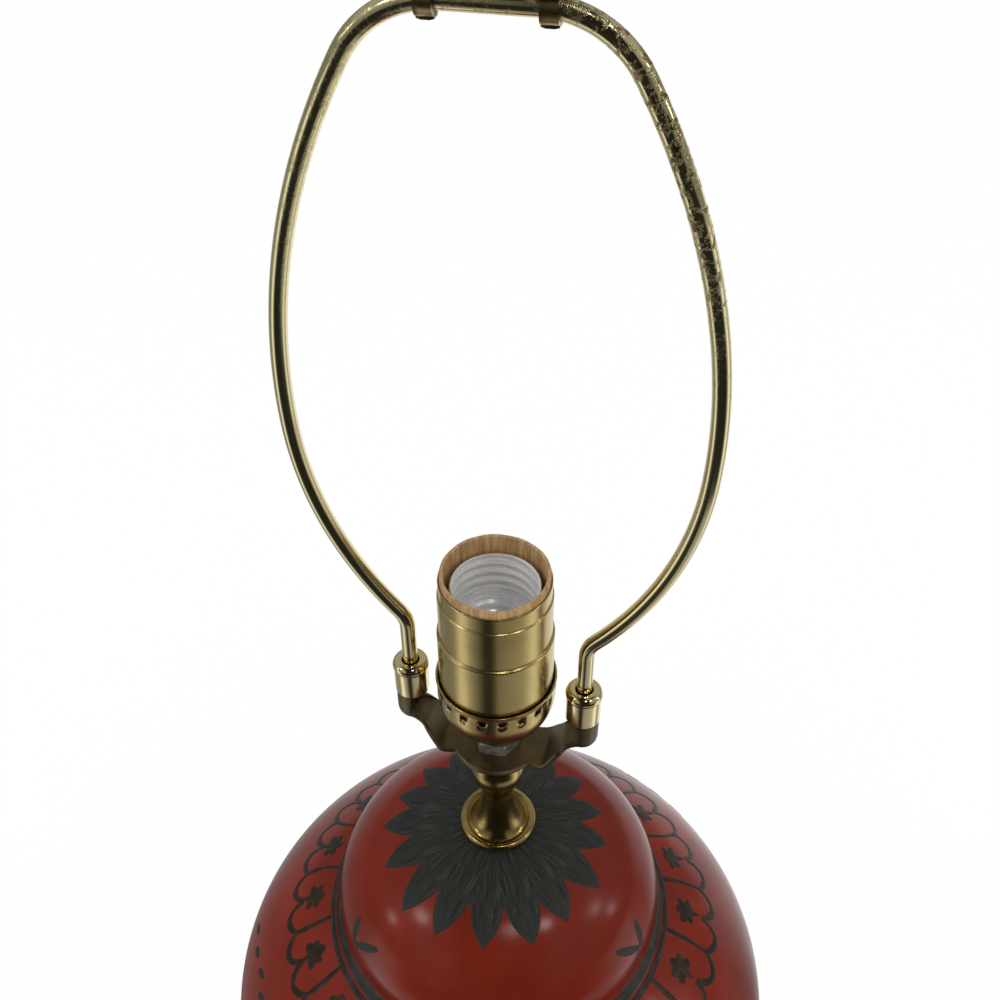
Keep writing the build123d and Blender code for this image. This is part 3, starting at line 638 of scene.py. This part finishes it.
def strokes(surface, along, angle, half_width, lift):
    """Brush strokes (count, rows) on a turned surface: thin closed ribbons, crowned on top.

    Each section runs over the top from one edge to the other at k = 1..-1, raised by
    lift (1 - k^4), and back a little under the glaze.
    """
    reach, line = surface
    radius = np.interp(along, reach, line[:, 0])
    run_s = np.gradient(along, axis=-1)
    run_t = np.gradient(angle, axis=-1) * radius
    size = np.hypot(run_s, run_t) + 1e-9
    side_s, side_t = -run_t / size, run_s / size
    k = np.array([1, 0.8, 0.5, 0.18, -0.18, -0.5, -0.8, -1, -0.5, 0.5])
    rise = np.array([-0.02, 0.6, 0.9, 1, 1, 0.9, 0.6, -0.02, -0.6, -0.6])
    s = along[..., None] + side_s[..., None] * half_width[..., None] * k
    t = angle[..., None] + side_t[..., None] * half_width[..., None] * k / radius[..., None]
    height = np.where(rise > 0, rise * np.asarray(lift)[..., None], 0.1 * rise)
    return strip(on_skin(surface, s, t, height), capped=True)


lid_skin = skin(lid_outside())
jar_skin = skin(jar_outside()[::-1])


def lid_reach(radius):
    """Distance along the lid's line to a radius on its dome."""
    reach, line = lid_skin
    return np.interp(radius, line[:58, 0], reach[:58])


def jar_reach(radius):
    """Distance along the shoulder's line, from the ledge, to a radius."""
    reach, line = jar_skin
    return np.interp(radius, line[:55, 0], reach[:55])


def chrysanthemum():
    """Seventeen pointed petals round the neck.

    A petal's half width at u from its tip is 6.7 (1 - exp(-(u / 6.3)^1.15)) mm; its tip's
    radius and angle drift a little round the lid, as a hand paints them.
    """
    number = np.arange(17)
    even = radians(150) + number * 2 * pi / 17
    angle = even + np.radians(3.3 * np.cos(even - radians(30)) + 0.9 * np.sin(5.3 * number))
    tip = 40.9 + 2.7 * np.cos(angle - radians(255)) + 0.6 * np.sin(3.7 * number)
    t = np.linspace(0, 1, 48)
    along = lid_reach(11.5) + (lid_reach(tip) - lid_reach(11.5))[:, None] * t
    left = (along[:, -1:] - along) + 0.02
    wave = 0.22 * np.sin(9 * t + number[:, None]) * ramp(left, 1, 8)
    half = 6.7 * (1 - np.exp(-((left / 6.3) ** 1.15))) + wave
    lean = radians(1.6) * np.sin(2.1 * number)[:, None] * t**2
    lift = 0.09 + 0.05 * (number % 2)[:, None] + 0 * t
    lift = lift + 0.05 * (number % 3 == 2)[:, None]
    return strokes(lid_skin, along, angle[:, None] + lean, half, lift)


def leaf_sprig(angle, side):
    """Two leaves and a trailing stem on the lid's flank, at an angle in degrees.

    Each stroke runs straight from its tip to its foot over distance and angle; a leaf's half
    width is w sin(pi (0.1 + 0.8 t))^0.7, and the stem thins towards its end.
    """
    t = np.linspace(0, 1, 26)
    tips = np.array([[56.2, 2.5], [57.3, -11.5], [63.5, 1.2]])[:, :, None]
    feet = np.array([[67.4, 0.6], [66.5, -0.8], [76.5, -15.0]])[:, :, None]
    path = tips + (feet - tips) * t
    along = path[:, 0] + np.array([[0.0], [0.0], [2.4]]) * np.sin(pi * t)
    turn = radians(angle) + side * np.radians(path[:, 1])
    half = np.array([[1.7], [1.7], [0.75]]) * np.sin(pi * (0.1 + 0.8 * t)) ** 0.7
    return strokes(lid_skin, along, turn, half, 0.1 + 0 * along)


def warped(angle):
    """An even angle shifted by 1 degree sin 2(a - 10), as the hand-spaced border runs."""
    return angle + radians(1.03) * np.sin(2 * (angle - radians(10)))


def border_lines():
    """The shoulder's border, twenty units of 18 degrees.

    Per unit: a divider from the ring out to r = 79.7, and two lobes that swing out to r = 83.3
    and hook back to a cusp at r = 78 on the unit's middle. The whole border sits 1.1 mm off
    the axis, towards +X.
    """
    first = radians(1.4) + np.arange(20) * radians(18)
    t = np.linspace(0, 1, 26)
    wobble = np.sin(first[:, None] * 7.3)
    divider_r = 64.2 + 15.6 * t + 0 * first[:, None]
    divider_a = warped(first[:, None] + radians(0.9) * np.sin(pi * t) * wobble)
    parts = [
        strokes(
            jar_skin,
            jar_reach(divider_r + border_shift * t * np.cos(divider_a)),
            divider_a,
            0.95 + 0.16 * np.sin(5 * t + 3 * first[:, None]),
            0.1 + 0 * divider_r,
        )
    ]
    for side in (1, -1):
        lobe_r = 79.7 - 1.5 * t + 4.5 * np.sin(pi * t) ** 0.75 + 0.3 * wobble * t
        lobe_a = warped(first[:, None] + side * radians(8.75) * (1 - (1 - t) ** 1.25))
        width = 1.05 + 0.35 * np.sin(pi * t) + 0.12 * np.sin(9 * t + 5 * first[:, None])
        lobe_r = lobe_r + border_shift * np.cos(lobe_a)
        parts.append(strokes(jar_skin, jar_reach(lobe_r), lobe_a, width, 0.13 + 0 * lobe_r))
    return parts


def border_florets():
    """A plump flower in each unit: six petals about its middle, the outer one a stalk that
    runs on to the cusp."""
    middle = radians(1.4 + 9) + np.arange(20) * radians(18)
    lobe = np.radians(np.arange(6) * 60.0)
    turn = lobe[None, :] + 0.12 * np.sin(middle * 5.1)[:, None]
    t = np.linspace(0, 1, 14)
    size = 5.1 + 0.7 * np.sin(3 * turn + middle[:, None])
    size[:, 0] += 1.0
    reach = size[..., None] * t
    along = jar_reach(72.6) + reach * np.cos(turn)[..., None]
    angle = warped(middle[:, None, None] + reach * np.sin(turn)[..., None] / 72.8)
    plump = np.array([1.3, 2.1, 1.8, 2.2, 1.9, 2.1])[:, None]
    half = plump * np.sin(pi * (0.16 + 0.76 * t)) ** 0.6 + 0 * along
    return strokes(
        jar_skin,
        along.reshape(120, 14),
        angle.reshape(120, 14),
        half.reshape(120, 14),
        0.14 + 0 * along.reshape(120, 14),
    )


def closed_band(surface, along, wave):
    """A band painted all the way round, between two distances along a surface's line."""
    a = np.linspace(0, 2 * pi, 200, endpoint=False)
    k = np.array([0, 0.12, 0.5, 0.88, 1, 0.7, 0.3])[:, None]
    rise = np.array([-0.06, 0.1, 0.1, 0.1, -0.06, -0.08, -0.08])[:, None]
    start, end = along
    drift = wave * (np.sin(7 * a) + 0.6 * np.sin(17 * a))
    s = start + drift + (end - start - drift) * k
    return strip(on_skin(surface, s, a + 0 * k, rise + 0 * a), rows_wrap=True)


def belly_sprays():
    """Two loose sprays of short leaves low on the shoulder."""
    start = np.array([190.5, 197.0, 203.5, 209.0, 50.5, 57.0, 63.5, 69.0])
    radius = np.array([98.6, 97.0, 94.8, 95.6, 98.6, 97.0, 94.8, 95.6])
    t = np.linspace(-1, 1, 14)
    angle = np.radians(start[:, None] - 1.7 * t)
    radii = radius[:, None] + 0.9 * t
    half = 1.5 * np.sqrt(np.clip(1.03 - t**2, 0, 1)) + 0 * radii
    return strokes(jar_skin, jar_reach(radii), angle, half, 0.1 + 0 * radii)


jar_body()
jar_lid()
piece("lid_chrysanthemum", [chrysanthemum()], "lamp", petal_paint)
sprigs = ((222, -1), (342, 1), (95, 1))
piece("lid_leaf_sprigs", [leaf_sprig(*sprig) for sprig in sprigs], "lamp", petal_paint)
piece("shoulder_border", [*border_lines(), border_florets()], "lamp", ink)
# Black paint on the lid's skirt, run down to its very foot: part painted band, part painted shade
# of the joint with the jar.
skirt_paint_and_shade = closed_band(lid_skin, (77.4, lid_skin[0][-1] - 0.2), 0.12)
piece("lid_skirt_paint_and_shade", [skirt_paint_and_shade], "lamp", petal_paint)
# Black ring on the jar's ledge just outside the lid's foot: part painted line, part painted shade
# of the gap under the lid.
ledge_ring_and_shade = closed_band(jar_skin, (jar_reach(64.9), 0.02), 0.1)
piece("shoulder_ring_and_shade", [ledge_ring_and_shade], "lamp", petal_paint)
piece("shoulder_sprays", [belly_sprays()], "lamp", petal_paint)


# Neck, socket and harp saddle


def trumpet_neck():
    """The neck: rolled foot, dish, waist, bulb and collar, as the frame's node has them."""
    a = np.radians(np.linspace(-90, 140, 28))
    rolled = np.stack([11.85 + 1.6 * np.cos(a), neck_low + 1.6 + 1.6 * np.sin(a)], -1)
    waist, bulb = (5.5, neck_low + 18.5), (8.7, neck_low + 31.0)
    throat = (7.0, neck_top - 4.6)
    outline = np.concatenate(
        [
            [(11.6, neck_low)],
            rolled,
            bezier(
                (10.2, neck_low + 2.5), (8.0, neck_low + 4.0), (5.5, neck_low + 10.4), waist, 40
            ),
            bezier(waist, (5.5, waist[1] + 5.5), (8.25, bulb[1] - 5.5), bulb, 24)[1:],
            bezier(bulb, (9.02, bulb[1] + 4.2), (7.0, throat[1] - 4.2), throat, 20)[1:],
            rounded(
                [
                    (7.0, throat[1] + 0.6),
                    (8.3, throat[1] + 0.6, 0.5),
                    (8.3, neck_top, 0.5),
                    (rod_clearance, neck_top),
                    (rod_clearance, neck_low + 1),
                    (11.6, neck_low + 1),
                ]
            ),
        ]
    )
    piece("neck_spun", [ring(outline, 160)], "lamp", spun_brass, ["trumpet_neck"])


def socket_cap():
    """The cap: hub, bowl and rim in one sheet, its 19 windows left out of the grid."""
    side, floor = cap_rim - 6.6, cap_low + 7.2
    gap, window = cap_rim - 3.3, 0.95
    outline = np.concatenate(
        [
            [(rod_clearance, cap_low), (7.0, cap_low), (7.45, cap_low + 0.15)],
            [(7.6, cap_low + 0.6), (7.6, floor - 0.6), (7.9, floor - 0.1)],
            bezier((8.3, floor), (14.0, floor), (18.6, side - 7.0), (18.6, side), 30),
            [(18.6, gap - window), (18.6, gap), (18.6, gap + window)],
            [(18.6, cap_rim - 1.2), (18.72, cap_rim - 0.6), (18.95, cap_rim)],
        ]
    )
    half, period, first = 3.5, 360 / 19, -71.4
    inside = np.linspace(-half, half, 4)
    outside = np.linspace(half, period - half, 6)[1:-1]
    columns = np.concatenate([inside, outside])
    a = np.radians(first + (np.arange(19)[:, None] * period + columns).ravel())
    sheet = strip(polar(outline[:, 0, None], a, outline[:, 1, None]))
    obj = piece("cap_pressed", [sheet], "lamp", aged_brass, ["socket_cap"])
    work = bmesh.new()
    work.from_mesh(obj.data)
    middles = [face.calc_center_median() for face in work.faces]
    in_windows = [
        face
        for face, middle in zip(work.faces, middles)
        if gap - window < middle.z * 1000 < gap + window
        and (np.degrees(np.arctan2(middle.y, middle.x)) - first + half) % period < 2 * half
    ]
    bmesh.ops.delete(work, geom=in_windows, context="FACES")
    work.to_mesh(obj.data)
    work.free()
    walled(obj, 0.6)


def slotted(outline, half, steps=190):
    """An upright wall round the axis with a round-ended slot at the back.

    At each level the wall runs from the slot's edge all the way round to its other edge;
    the slot's half width is `half` up to the switch and sqrt(half^2 - h^2) over it.
    """
    r, z = outline.T
    over = np.clip(z - switch_level, 0, None)
    open_by = np.arcsin(np.sqrt(np.clip(half**2 - over**2, 0, None)) / r)
    t = np.linspace(0, 1, steps)
    a = pi / 2 + open_by[:, None] + (2 * pi - 2 * open_by[:, None]) * t
    return strip(polar(r[:, None], a, z[:, None]), columns_wrap=False)


def socket_shell():
    """The shell: three tiers with bevelled steps, its top curled in over the liner."""
    low, shoulder = shell_low, shell_low + 22.6
    mid = shoulder + 15.4
    z = np.concatenate(
        [
            np.linspace(low, switch_level, 6)[:-1],
            switch_level + 3.5 * np.sin(np.linspace(0, pi / 2, 14)),
            np.linspace(switch_level + 4.2, shoulder - 2.0, 5),
            np.linspace(shoulder - 1.4, shoulder + 0.16, 27),
            np.linspace(shoulder + 1.5, mid - 1.2, 6),
            np.linspace(mid - 0.7, mid + 0.14, 15),
            np.linspace(mid + 1.2, shell_top - 0.5, 4),
            shell_top - 0.3 + 0.3 * np.sin(np.linspace(0, pi / 2, 5)),
        ]
    )
    r = 17.75 - 0.6 * ramp(z, shoulder - 0.54, shoulder) - 0.4 * ramp(z, mid - 0.42, mid)
    r = r + 0.06 * np.exp(-(((z - shoulder + 0.9) / 0.25) ** 2))
    curl = np.clip(z - shell_top + 0.3, 0, 0.3)
    r = r - 0.3 + np.sqrt(0.09 - curl**2)
    obj = piece(
        "shell_drawn",
        [slotted(np.stack([r, z], -1), 3.5)],
        "lamp",
        aged_brass,
        ["socket_shell"],
        weld=True,
    )
    walled(obj, 0.45)


def card_liner():
    """The card sleeve, its rim softened by handling."""
    outline = rounded(
        [(15.05, liner_low), (16.2, liner_low), (16.2, liner_top, 0.4), (15.05, liner_top, 0.4)]
    )
    line = facing_out(outline)
    tall = np.concatenate([np.linspace(a, b, 5)[:-1] for a, b in zip(line, np.roll(line, -1, 0))])
    grid = lathe(tall, 160)
    a = np.arctan2(grid[..., 1], grid[..., 0])
    top = ramp(grid[..., 2], liner_top - 2, liner_top)
    grid[..., 2] += top * (0.1 * np.sin(3 * a + 1) + 0.07 * np.sin(11 * a) - 0.17)
    part = strip(grid, rows_wrap=True)
    piece("liner_card", [part], "lamp", card, ["insulating_liner"])


def screw_shell():
    """The screw shell, inside face first: r grows from 12.45 to 13.2 mm in a right-hand groove
    of 3.63 mm pitch, (1 - cos 2 pi (z / pitch - turn))/2 raised to 0.8, on a plain skirt."""
    floor = thread_low + 0.35
    z = np.linspace(thread_top, floor + 0.2, 220)
    a = np.linspace(0, 2 * pi, 128, endpoint=False)
    phase = (z[:, None] - floor) / 3.63 - a / (2 * pi)
    groove = (0.5 - 0.5 * np.cos(2 * pi * phase)) ** 0.8
    skirt = ramp(z, floor + 5.6, floor + 3.2)[:, None]
    r = 12.45 + 0.75 * (groove * (1 - skirt) + skirt)
    wall = polar(r, a, z[:, None])
    bottom = lathe(np.array([(12.9, floor + 0.03), (12.2, floor), (7.0, floor)]), 128)
    part = strip(np.concatenate([wall, bottom]))
    obj = piece(
        "screw_thread", [part], "lamp", aluminium, ["screw_shell"], crease=60
    )
    walled(obj, 0.35)


def dished(half_width, centre, normal, wall, share, outer=4.3, inner=2.5):
    """A bent plate along a line in XZ whose sides curl up where share goes from 0 to 1.

    Across a section the under face stands at R - sqrt(R^2 - (|y| - w + R)^2) past its flat
    middle, with R = share * outer, and the top face the same with R = share * inner, the
    plate's wall higher and as much narrower as the curl has turned upright.
    """
    k = np.linspace(1, -1, 41)
    w, share = half_width[:, None], share[:, None]
    soft = 0.4 * (1 - share) * (1 - np.sqrt(1 - ((np.abs(k) - 0.93) / 0.07).clip(0, 1) ** 2))

    def face(width, radius):
        past = np.clip(np.abs(k) * width - width + radius, 0, radius)
        return k * width, radius - np.sqrt(radius**2 - past**2)

    top_y, top = face(w - wall * share, inner * share)
    low_y, low = face(w, outer * share)
    y = np.concatenate([top_y, low_y[:, ::-1]], 1)
    rise = np.concatenate([wall + top - soft, (low + soft)[:, ::-1]], 1)
    points = np.empty((len(centre), y.shape[1], 3))
    points[..., 0] = centre[:, 0, None] + normal[:, 0, None] * rise
    points[..., 1] = y
    points[..., 2] = centre[:, 1, None] + normal[:, 1, None] * rise
    return points


def hermite(at, x, y):
    """A smooth line through points, its slopes taken from their neighbours."""
    slope = np.gradient(y, x)
    i = np.clip(np.searchsorted(x, at) - 1, 0, len(x) - 2)
    h = x[i + 1] - x[i]
    t = (at - x[i]) / h
    return (
        (1 + 2 * t) * (1 - t) ** 2 * y[i]
        + t * (1 - t) ** 2 * h * slope[i]
        + t * t * (3 - 2 * t) * y[i + 1]
        - t * t * (1 - t) * h * slope[i + 1]
    )


def half_turned(outline, side, steps=33):
    """The outer half of a closed outline turned about a leg, its two cut faces closed."""
    outline = facing_out(outline)
    turn = np.radians(np.linspace(-90, 90, steps))[:, None]
    r, z = outline.T
    x, y = leg_spread + r * np.cos(turn), r * np.sin(turn)
    return strip(np.stack([side * x, side * y, z + 0 * turn], -1)[::-1], capped=True)


def harp_saddle():
    """The stamped saddle: a round middle and lobed arms that turn up to two prongs.

    Half the under line, in XZ: flat to 17.2 mm, up by 8.8 mm at 23.8 mm, then level, both bends
    round. The plan's half width is 14 mm at the middle, 7.8 at the waist, 8.4 at the lobe and
    5.2 at the prong, where the sides curl up into the prong's round heel.
    """
    low, high = saddle_low, saddle_low + 8.8
    corner = [(0, low), (17.2, low, 4.3), (23.8, high, 2.5), (leg_spread, high)]
    line = rounded([*corner, (leg_spread, low - 40), (0, low - 40)], 9)[:20]
    reach = np.concatenate([[0], np.cumsum(np.linalg.norm(np.diff(line, axis=0), axis=1))])
    at = np.unique(np.concatenate([reach, np.linspace(0, reach[-1], 70)]))
    half = np.stack([np.interp(at, reach, line[:, i]) for i in (0, 1)], -1)
    under = np.concatenate([half[:0:-1] * (-1, 1), half])
    run = np.gradient(under, axis=0)
    run /= np.linalg.norm(run, axis=1, keepdims=True)
    normal = np.stack([-run[:, 1], run[:, 0]], -1)
    far = np.abs(under[:, 0])
    middle = np.sqrt(np.clip(14.0**2 - far**2, 0, None))
    arm = hermite(
        np.clip(far, 10, leg_spread),
        np.array([10, 13.0, 15.4, 18.0, 20.4, 22.9, 25.4, leg_spread]),
        np.array([7.8, 7.8, 8.2, 8.4, 7.5, 6.2, 5.4, 5.2]),
    )
    curl = ramp(far, 21.0, leg_spread)
    plate = strip(dished(np.maximum(middle, arm), under, normal, 1.8, curl), capped=True)
    parts = [plate]
    shoulder = sleeve_low
    heel = rounded(
        [
            (0.02, high),
            (5.2, high, 4.3),
            (5.2, shoulder, 0.25),
            (0.02, shoulder),
            (0.02, shoulder - 1.6),
            (3.4, shoulder - 1.6),
            (3.4, high + 1.8, 2.5),
            (0.02, high + 1.8),
        ],
        12,
    )
    tab = rounded(
        [
            (2.68, shoulder - 0.4),
            (4.25, shoulder - 0.4),
            (4.25, shoulder + 8.5, 0.3),
            (2.68, shoulder + 8.5, 0.3),
        ]
    )
    for side in (1, -1):
        parts += [half_turned(heel, side), half_turned(tab, side)]
    piece("saddle_stamped", parts, "lamp", bronze, ["harp_saddle"])


trumpet_neck()
socket_cap()
socket_shell()
card_liner()
screw_shell()
harp_saddle()


# Harp


def harp_line():
    """Centreline of the harp in XZ: legs, outward bends, two arcs a side, corners, top."""
    turns = ((10.1, -40.2), (111.4, 37.2), (181.0, 33.2), (25.1, 59.8))
    leg_top = sleeve_low + 28.3
    points = [np.stack([np.full(12, leg_spread), np.linspace(wire_low, leg_top, 12)], -1)]
    here, heading = np.array([leg_spread, leg_top]), 90.0
    for size, turn in turns:
        side = 1 if turn > 0 else -1
        centre = here + size * side * np.array([-sin(radians(heading)), cos(radians(heading))])
        steps = max(14, int(size * radians(abs(turn)) / 1.6))
        a = np.radians(np.linspace(heading, heading + turn, steps)[1:])
        arc = centre + size * side * np.stack([np.sin(a), -np.cos(a)], -1)
        points.append(arc)
        here, heading = arc[-1], heading + turn
    points.append(np.stack([np.linspace(here[0], 0, 14)[1:], np.full(13, here[1])], -1))
    half = np.concatenate(points)
    other = half[::-1][1:] * (-1, 1)
    return np.concatenate([half, other])


def harp_wire():
    """The harp's wire as a tube along its line, with a D-shaped toe on each leg."""
    line = harp_line()
    centre = np.stack([line[:, 0], 0 * line[:, 0], line[:, 1]], -1)
    run = np.gradient(centre, axis=0)
    run /= np.linalg.norm(run, axis=1, keepdims=True)
    across = np.array([0.0, 1.0, 0.0])
    over = np.cross(run, across)
    a = np.linspace(0, 2 * pi, 28, endpoint=False)[:, None]
    grid = centre[:, None] + wire_radius * (np.cos(a) * across + np.sin(a) * over[:, None])
    toes = []
    for side in (1, -1):
        a = np.linspace(0, 2 * pi, 48, endpoint=False)
        z = wire_low + np.array([0, 0.25, 2.15, 2.4])
        r = np.array([3.25, 3.5, 3.5, 3.25])[:, None]
        x = np.minimum(r * np.cos(a), -0.6) if side > 0 else np.maximum(r * np.cos(a), 0.6)
        toe = np.stack([side * leg_spread + x, r * np.sin(a), z[:, None] + 0 * x], -1)
        toes.append(strip(toe, capped=True))
    parts = [strip(grid, capped=True), *toes]
    piece("harp_bent", parts, "harp", wire_brass, ["harp_wire"])


def ferrules():
    """The two sleeves: straight wall, a bead with a domed top, a small hole over a wide bore."""
    low, top = sleeve_low, sleeve_top
    outline = rounded(
        [
            (4.55, low, 0.3),
            (5.45, low, 0.3),
            (5.45, top - 3.3, 0.3),
            (5.8, top - 2.3, 0.3),
            (5.8, top, 2.1),
            (2.68, top, 0.6),
            (2.68, top - 3.4),
            (4.55, top - 3.4),
        ],
        9,
    )
    for side, hand in ((-1, "left"), (1, "right")):
        node = hand + "_ferrule"
        sleeve = ring(outline, 72, (side * leg_spread, 0))
        piece(node + "_turned", [sleeve], hand + "_sleeve", sleeve_brass, [node])


def tips_drawn_up(points):
    """The ears' tips under the wire, from 3.2 mm below its middle, at 0.3 of their length."""
    tip = level("harp_wire", 1) - wire_radius - 3.2
    points[:, 2] = np.where(points[:, 2] < tip, tip + 0.3 * (points[:, 2] - tip), points[:, 2])
    return points


harp_wire()
ferrules()
softened("harp_bracket", "harp", bracket_bronze, 0.25, shaped=tips_drawn_up)
softened("finial_stud", "harp", sleeve_brass, 0.1)


# Base and small parts


def wood_base():
    """The turned base: plinth, cove and bead, the pocket below and the jar's seat above."""
    plinth, waist = base_low + 13, 68.4
    cove = plinth + 6
    hollow = ellipse_arc((waist + 6, cove), 6, 6, 270, 180, 12)
    round_bead = ellipse_arc((waist, cove + 2.5), 2.5, 2.5, -90, 90, 14)
    outline = rounded(
        [
            (rod_clearance, base_top - 2),
            (rod_clearance, base_low + 13),
            (50, base_low + 13),
            (50, base_low),
            (76, base_low, 1.2),
            (76, plinth, 1.2),
            *hollow,
            *round_bead,
            (waist, base_top, 1.2),
            (60.6, base_top),
            (60.6, base_top - 2),
        ]
    )
    piece("base_turned", [ring(outline, 220)], "lamp", wood, ["wood_base"])


wood_base()
for node, finish, slot in (
    ("foot_pads", rubber, "black_rubber"),
    ("cord_bushing", resin, "black_plastic"),
    ("base_washer", zinc, "zinc_steel"),
    ("base_lock_washer", zinc, "zinc_steel"),
    ("base_nut", zinc, "zinc_steel"),
    ("lamp_rod", zinc, "zinc_steel"),
    ("neck_gasket", rubber, "black_rubber"),
    ("saddle_locknut", zinc, "zinc_steel"),
    ("cap_set_screw", aged_brass, "aged_brass"),
    ("socket_block_low", resin, "black_plastic"),
    ("socket_block_top", resin, "black_plastic"),
    ("block_rivets", aged_brass, "aged_brass"),
    ("centre_contact", sleeve_brass, "bright_brass"),
    ("terminal_screws", sleeve_brass, "bright_brass"),
):
    softened(node, "lamp", finish)
softened("switch_shaft", "switch", resin)
softened("switch_knob", "switch", knob_resin, 0.3)


# Studio


def aimed(x, y, z, place):
    """The matrix of a camera or lamp that looks along -z from a place."""
    matrix = np.eye(4)
    matrix[:3] = np.stack([x, y, z, place], -1)
    return Matrix(matrix)


def studio_camera():
    """Camera at the photograph's angle: 13.2 degrees to the left of straight on, 41 down."""
    turn_left, down, roll = radians(-13.2226), radians(40.9685), radians(0.4379)
    forward = np.array([sin(turn_left) * cos(down), cos(turn_left) * cos(down), -sin(down)])
    right = np.array([cos(turn_left), -sin(turn_left), 0])
    below = np.cross(forward, right)
    right, below = cos(roll) * right + sin(roll) * below, cos(roll) * below - sin(roll) * right
    place = np.array([54.69, -225.97, 353.53 + lid_top]) / 1000
    data = bpy.data.cameras.new("studio_camera")
    data.lens, data.sensor_width = 41.03, 36
    data.clip_start = 0.01
    camera = bpy.data.objects.new("studio_camera", data)
    scene.collection.objects.link(camera)
    camera.matrix_world = aimed(right, -below, -forward, place)
    scene.camera = camera


def studio_light(name, direction, radiance, size, distance=2.4):
    """A round soft light aimed at the lid, of a given brightness over its face."""
    aim = np.array([0, 0, (lid_top - 20) / 1000])
    way = np.array(direction) / np.linalg.norm(direction)
    data = bpy.data.lights.new(name, "AREA")
    data.shape, data.size = "DISK", size
    data.energy = radiance * pi * pi * size**2 / 4
    data.color = (1.0, 0.97, 0.93)
    lamp = bpy.data.objects.new(name, data)
    scene.collection.objects.link(lamp)
    x = np.cross([0, 0, 1], way)
    x /= np.linalg.norm(x)
    lamp.matrix_world = aimed(x, np.cross(way, x), way, aim + way * distance)


class Studio(Wiring):
    """The shaders of the world and the floor, which each kind of ray may see otherwise."""

    def __init__(self, tree):
        super().__init__(tree)
        tree.nodes.clear()

    def ray(self, *kinds):
        """1 for the named kinds of ray."""
        path = self.node("LightPath")
        total = path.outputs["Is %s Ray" % kinds[0]]
        for kind in kinds[1:]:
            total = self.math("MAXIMUM", total, path.outputs["Is %s Ray" % kind])
        return total

    def along(self, vector, direction):
        """How far a vector runs along a direction."""
        return self.node("VectorMath", vector, direction, operation="DOT_PRODUCT").outputs["Value"]


front = np.array([cos(radians(-76.4)), sin(radians(-76.4)), 0])
floor_reflectance, lamplight = 0.86, 0.106


def studio_world():
    """A white room; what shines sees it dim, with a dark strip in front and above."""
    world = bpy.data.worlds.new("studio")
    world.use_nodes = True
    scene.world = world
    w = Studio(world.node_tree)
    way = w.node("TexCoord").outputs["Generated"]
    side = w.math("ABSOLUTE", w.along(way, (-front[1], front[0], 0)))
    strip_side = w.fit(side, sin(radians(20)), sin(radians(34)), 1.0, 0.0)
    strip_end = w.fit(w.along(way, front), -0.5, -0.2)
    height = w.fit(w.along(way, (0, 0, 1)), 0.1, 0.45, 0.2, 0.36)
    shine = w.between(w.math("MULTIPLY", strip_side, strip_end), height, 0.015)
    lit = w.between(w.ray("Diffuse"), shine, 0.75)
    seen = w.between(w.ray("Camera", "Transmission"), lit, 1.0)
    w.node("OutputWorld", w.node("Background", (1, 1, 1, 1), seen).outputs[0])


def studio_floor():
    """A wide white floor that keeps a faint shadow.

    The camera sees own_light of it as a glow and the rest as matt white under the lamps, which
    adds lamplight. What shines sees it glow unevenly by azimuth (degrees, brightness), a painted
    reflection of a room, and dark in front past 0.5 m from the lamp.
    """
    mesh = bpy.data.meshes.new("studio_floor")
    side = 6.0
    corners = [(-side, -side, 0), (side, -side, 0), (side, side, 0), (-side, side, 0)]
    mesh.from_pydata(corners, [], [(0, 1, 2, 3)])
    floor = bpy.data.objects.new("studio_floor", mesh)
    scene.collection.objects.link(floor)
    material = bpy.data.materials.new("studio_floor")
    material.use_nodes = True
    w = Studio(material.node_tree)
    place = w.node("TexCoord").outputs["Object"]
    apart = w.node("SeparateXYZ", place)
    angle = w.math("ARCTAN2", apart.outputs["Y"], apart.outputs["X"])
    round_about = w.node("MapRange", angle, -pi, pi, 0.0, 1.0)
    # The floor's glow by azimuth, which only shining surfaces see: a painted reflection of a room.
    reflected_glow = w.node("ValToRGB", round_about.outputs[0])
    stops = reflected_glow.color_ramp.elements
    for end in stops:
        end.color = (0.25, 0.25, 0.25, 1)
    for degrees, glow in (
        *((-163, 0.3), (-150, 1.0), (-140, 0.9), (-130, 0.45), (-115, 0.25), (-100, 0.03)),
        *((-83, 0.03), (-72, 0.28), (-22, 0.45), (-10, 0.7), (-3, 1.0), (8, 1.0)),
        *((15, 0.45), (27, 0.3), (42, 0.85), (75, 1.0), (130, 0.6), (162, 0.25)),
    ):
        stops.new(degrees / 360 + 0.5).color = (glow, glow, glow, 1)
    flat = w.node("VectorMath", place, operation="NORMALIZE")
    ahead = w.fit(w.along(flat.outputs[0], front), 0.35, 0.75)
    length = w.node("VectorMath", place, operation="LENGTH")
    past = w.fit(length.outputs["Value"], 0.5, 0.58)
    shine = w.between(w.math("MULTIPLY", ahead, past), reflected_glow.outputs[0], 0.02)
    gloss = w.ray("Glossy")
    own_light = 0.85
    white = (1 - lamplight) / own_light
    strength = w.between(gloss, white, shine)
    share = w.math("MAXIMUM", w.math("MULTIPLY", w.ray("Camera"), own_light), gloss)
    matt = w.node("BsdfDiffuse", (*[floor_reflectance] * 3, 1))
    glow = w.node("Emission", (1, 1, 1, 1), strength)
    both = w.node("MixShader", share, matt.outputs[0], glow.outputs[0])
    w.node("OutputMaterial", both.outputs[0])
    mesh.materials.append(material)


studio_camera()
studio_world()
studio_floor()
studio_light("left_light", (-0.615, -0.427, 0.663), 12, 0.32)
studio_light("low_left_light", (-0.855, -0.399, 0.332), 8, 0.26)
studio_light("front_light", (0.228, -0.443, 0.867), 13, 0.28)
studio_light("front_right_light", (0.505, -0.3, 0.81), 12, 0.28)
studio_light("right_light", (0.858, 0.031, 0.513), 12, 0.24)
studio_light("low_right_light", (0.948, 0.118, 0.296), 12, 0.2)
scene.view_settings.view_transform = "Standard"
